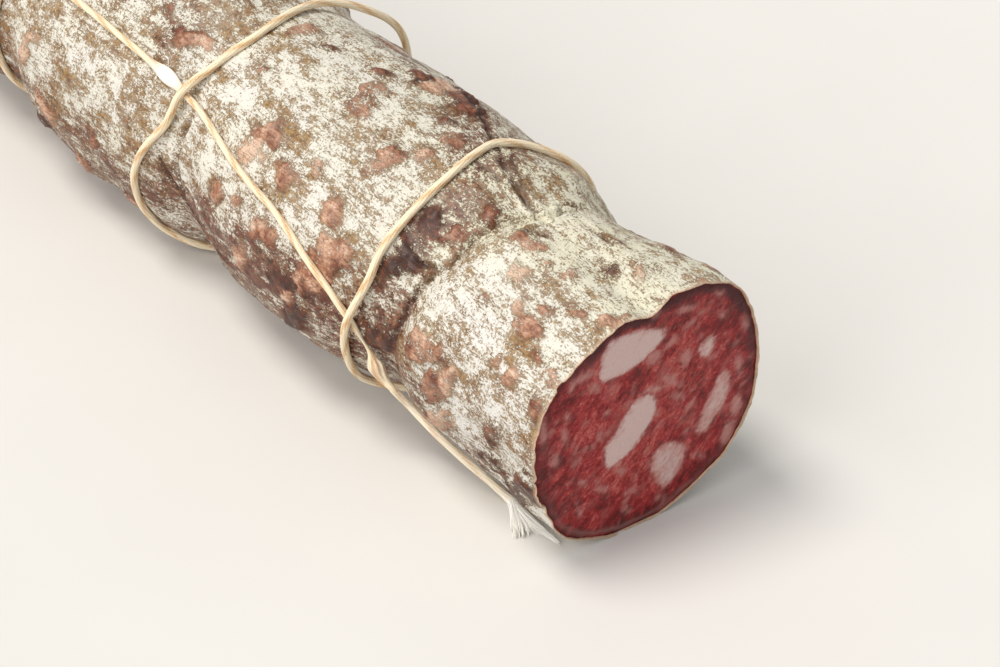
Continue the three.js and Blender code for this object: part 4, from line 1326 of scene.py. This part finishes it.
def meat_material():
    """Coarse dry-cured pork, cut with a knife and dried: wine-red lean, mottled and a little streaky, with
    fine pale sinew, soft white lard whose edges run into it, and a dark dry rim. Slightly moist."""
    material, tree, shader = new_material("cut cured pork and lard", {
        "Specular IOR Level": 0.2, "Subsurface Weight": 0.08, "Subsurface Scale": 0.8 * MM,
        "Subsurface Radius": (1, 0.35, 0.25),
    })
    place = add(tree, "ShaderNodeTexCoord", output="Object")
    turned = add(tree, "ShaderNodeMapping", place, sockets={"Rotation": (-STREAK_TURN, 0, 0)})
    grainy = add_noises(tree, turned, (
        ("bundle", 3.4, 4, (1, 1.7, 1)), ("fibre", 1.1, 3, (1, 1.8, 1)), ("crumb", 0.6, 2, (1, 1.2, 1)),
        ("blotch", 7, 3, (1, 1.4, 1)), ("thread", 2.6, 3, (1, 2, 1)), ("smear", 4.5, 3, (1, 1.5, 1)),
    ))
    held = {
        name: add(tree, "ShaderNodeAttribute", attribute_name=name, output="Fac")
        for name in ("lard", "white", "rim", "band", "sinew", "dry")
    }
    tone = add(tree, "ShaderNodeMapRange", held["rim"], 0, 22, 0.42, 0.56)
    tone = vary(tree, tone, grainy, bundle=1.1, fibre=0.9, blotch=0.8, crumb=0.8)
    lean = add(tree, "ShaderNodeValToRGB", tone, stops=(
        (0.2, "#580d0f"), (0.82, "#bb605a"), (0.4, "#80191b"), (0.54, "#972729"), (0.68, "#ab3c39"),
    ))

    # Fat smeared into the lean, and fine sinew
    smear = add(tree, "ShaderNodeMapRange", grainy["smear"], 0.5, 0.72, 0, 0.45, interpolation_type="SMOOTHSTEP")
    lean = add(tree, "ShaderNodeMix", smear, lean, "#a4625c", data_type="RGBA")
    ridge = add(tree, "ShaderNodeMath", grainy["thread"], 0.5, operation="SUBTRACT")
    ridge = add(tree, "ShaderNodeMath", ridge, operation="ABSOLUTE")
    ridge = add(tree, "ShaderNodeMapRange", ridge, 0.04, 0, interpolation_type="SMOOTHSTEP")
    ridge = add(tree, "ShaderNodeMath", ridge, held["sinew"], operation="MULTIPLY")
    ridge = add(tree, "ShaderNodeMath", ridge, 0.4, operation="MULTIPLY")
    lean = add(tree, "ShaderNodeMix", ridge, lean, "#bf7862", data_type="RGBA")

    # The dry rim, and the paler fat band low on the near side
    dry = add(tree, "ShaderNodeMath", grainy["bundle"], 3, held["rim"], operation="MULTIPLY_ADD")
    dry = add(tree, "ShaderNodeMapRange", dry, 5.4, 2.6, interpolation_type="SMOOTHSTEP")
    dry = add(tree, "ShaderNodeMath", dry, held["dry"], operation="MULTIPLY", use_clamp=True)
    lean = add(tree, "ShaderNodeMix", dry, lean, "#4a191c", data_type="RGBA")
    lean = add(tree, "ShaderNodeMix", held["band"], lean, "#a07a72", data_type="RGBA")

    # Lard: crisp where it is white, soft where it is pink
    edge = vary(tree, held["lard"], grainy, crumb=1, fibre=1.3, bundle=2)
    halo = add(tree, "ShaderNodeMapRange", edge, -1.5, 0.3, 0, 0.6, interpolation_type="SMOOTHSTEP")
    halo = add(tree, "ShaderNodeMath", halo, held["white"], operation="MULTIPLY")
    lean = add(tree, "ShaderNodeMix", halo, lean, "#a55d57", data_type="RGBA")
    crisp = add(tree, "ShaderNodeMapRange", edge, -0.65, 0.75, interpolation_type="SMOOTHSTEP")
    soft = add(tree, "ShaderNodeMapRange", edge, -0.6, 0.9, 0, 0.75, interpolation_type="SMOOTHSTEP")
    whole = add(tree, "ShaderNodeMapRange", held["white"], 0.6, 0.9, interpolation_type="SMOOTHSTEP")
    fat = add(tree, "ShaderNodeMix", whole, soft, crisp)
    pale = add(tree, "ShaderNodeMath", grainy["blotch"], 0.25, held["white"], operation="MULTIPLY_ADD")
    pale = vary(tree, pale, grainy, fibre=0.7, thread=0.6)
    within = add(tree, "ShaderNodeMapRange", held["lard"], 0, 2.2, -0.2, 0)
    pale = add(tree, "ShaderNodeMath", pale, within)
    lard = add(tree, "ShaderNodeValToRGB", pale, stops=((0.3, "#ab6e68"), (1.35, "#d0b4ae"), (0.72, "#c08c84")))
    colour = add(tree, "ShaderNodeMix", fat, lean, lard, data_type="RGBA")
    rough = add(tree, "ShaderNodeMapRange", grainy["crumb"], 0.3, 0.7, 0.36, 0.6)
    height = add(tree, "ShaderNodeMath", grainy["fibre"], 0.8, grainy["crumb"], operation="MULTIPLY_ADD")
    surface(tree, shader, colour, rough, height, 0.25, 0.6)
    return material


def twine_material(name, light, shade, white):
    """Two-ply cotton or linen string, laid soft and unwaxed: matt, warm cream, with shade painted darker in the
    grooves between the plies and the knob's ribs, and fine fibres that follow the lay. Threads are drawn
    coarser than life to show."""
    material, tree, shader = new_material(name, {"Specular IOR Level": 0.2, "Sheen Weight": 0.15})
    held = {
        key: add(tree, "ShaderNodeAttribute", attribute_name=key, output="Fac")
        for key in ("along", "around", "groove", "pale")
    }
    place = add(tree, "ShaderNodeTexCoord", output="Object")
    grainy = add_noises(tree, place, (("fuzz", 0.35, 2, (1, 1, 1)), ("stain", 6, 2, (1, 1, 1))))
    threads = add(tree, "ShaderNodeMath", held["around"], 9, operation="MULTIPLY")
    threads = add(tree, "ShaderNodeMath", held["along"], 3, threads, operation="MULTIPLY_ADD")
    threads = add(tree, "ShaderNodeMath", threads, operation="COSINE")
    # Painted shade in the grooves, mixed with stains, fuzz and the thread pattern; the darker colour serves both
    shade_and_stain = add(tree, "ShaderNodeMath", threads, 0.12, held["groove"], operation="MULTIPLY_ADD")
    shade_and_stain = vary(tree, shade_and_stain, grainy, fuzz=1.2, stain=0.9)
    shade_and_stain = add(tree, "ShaderNodeMapRange", shade_and_stain, 0.3, 1.5, interpolation_type="SMOOTHSTEP")
    colour = add(tree, "ShaderNodeMix", shade_and_stain, light, shade, data_type="RGBA")
    colour = add(tree, "ShaderNodeMix", held["pale"], colour, white, data_type="RGBA")
    tree.links.new(colour, shader.inputs["Base Color"])
    shader.inputs["Roughness"].default_value = 0.85
    height = add(tree, "ShaderNodeMath", threads, 0.3, grainy["fuzz"], operation="MULTIPLY_ADD")
    bump = add(tree, "ShaderNodeBump", sockets={"Height": height, "Distance": 0.15 * MM, "Strength": 0.6})
    tree.links.new(bump, shader.inputs["Normal"])
    return material


def fibre_material():
    """Loose cotton or linen fibres: matt and almost white"""
    material, tree, shader = new_material("loose twine fibres", {
        "Roughness": 0.9, "Specular IOR Level": 0.15,
    })
    place = add(tree, "ShaderNodeTexCoord", output="Object")
    grainy = add_noises(tree, place, (("fuzz", 0.8, 2, (1, 1, 1)),))
    colour = add(tree, "ShaderNodeMix", grainy["fuzz"], "#fffefa", "#faf6ea", data_type="RGBA")
    tree.links.new(colour, shader.inputs["Base Color"])
    return material


def floor_material():
    """A plain floor in matt pale paint"""
    material, tree, shader = new_material("pale floor", {"Roughness": 0.75, "Specular IOR Level": 0.2})
    place = add(tree, "ShaderNodeTexCoord", output="Object")
    grainy = add_noises(tree, place, (("cloud", 90, 2, (1, 1, 1)),))
    colour = add(tree, "ShaderNodeMix", grainy["cloud"], "#dcd9d3", "#e3e0da", data_type="RGBA")
    tree.links.new(colour, shader.inputs["Base Color"])
    return material


# The scene

def settle(piece, slot, *nodes):
    """Says what a piece rides on and hides the solids that it stands for. Its slot is not used."""
    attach(piece, "root")
    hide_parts(*nodes)


laid = twine_material("laid string", "#f5e4c3", "#cf9d60", "#faf3e4")
laid_tree = twine_tree(laid)
tail, tail_path = make_tail(laid_tree)
frayed = make_frayed_end(fibre_tree(fibre_material()))
settle(tail, "twine", "twine_tail")
settle(frayed, "frayed_twine", "twine_frayed_end")
tail_length = float(run_along(tail_path)[-1] * MM)
tuple(np.array(TAIL_WAY[0]) * MM)

for name, route in RINGS.items():
    settle(make_ring(name + "_laid", route, laid_tree), "twine", name)
settle(make_lengthwise(laid_tree), "twine", "twine_lengthwise")
settle(make_casing(casing_material()), "casing", "salami")
settle(make_cut(meat_material()), "cut_meat", "salami")


# The floor and the light. The key comes from high up, a little from the near side and the closed end, and the
# wide fill from lower down on the near side: (name, where from, spread in degrees, strength, colour)
FLOOR_HALF = 4
LIGHTS = [
    ("key", (-0.3, -0.35, 1.05), 24, 1.9, "#fffbf5"),
    ("fill", (0.0, -1.0, 0.6), 50, 1.5, "#fdfbfa"),
]
SKY = "#eef0f4"
SKY_STRENGTH = 0.55


def make_floor():
    corners = [(x * FLOOR_HALF, y * FLOOR_HALF, 0) for x, y in ((-1, -1), (1, -1), (1, 1), (-1, 1))]
    mesh = bpy.data.meshes.new("floor")
    mesh.from_pydata(corners, [], [(0, 1, 2, 3)])
    mesh.materials.append(floor_material())
    put("floor", mesh)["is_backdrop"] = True


def make_lights():
    for name, at, spread, strength, code in LIGHTS:
        data = bpy.data.lights.new(name, "SUN")
        data.energy = strength
        data.angle = math.radians(spread)
        data.color = linear(code)[:3]
        light = put(name, data)
        light.location = at
        light.rotation_euler = (-Vector(at)).to_track_quat("-Z", "Y").to_euler()
    world = bpy.data.worlds.new("studio")
    world.use_nodes = True
    background = world.node_tree.nodes["Background"]
    background.inputs["Color"].default_value = linear(SKY)
    background.inputs["Strength"].default_value = SKY_STRENGTH
    bpy.context.scene.world = world
    bpy.context.scene.view_settings.view_transform = "Standard"


make_floor()
make_lights()

[[list(corner) for corner in box] for box in (cad_box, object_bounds())]
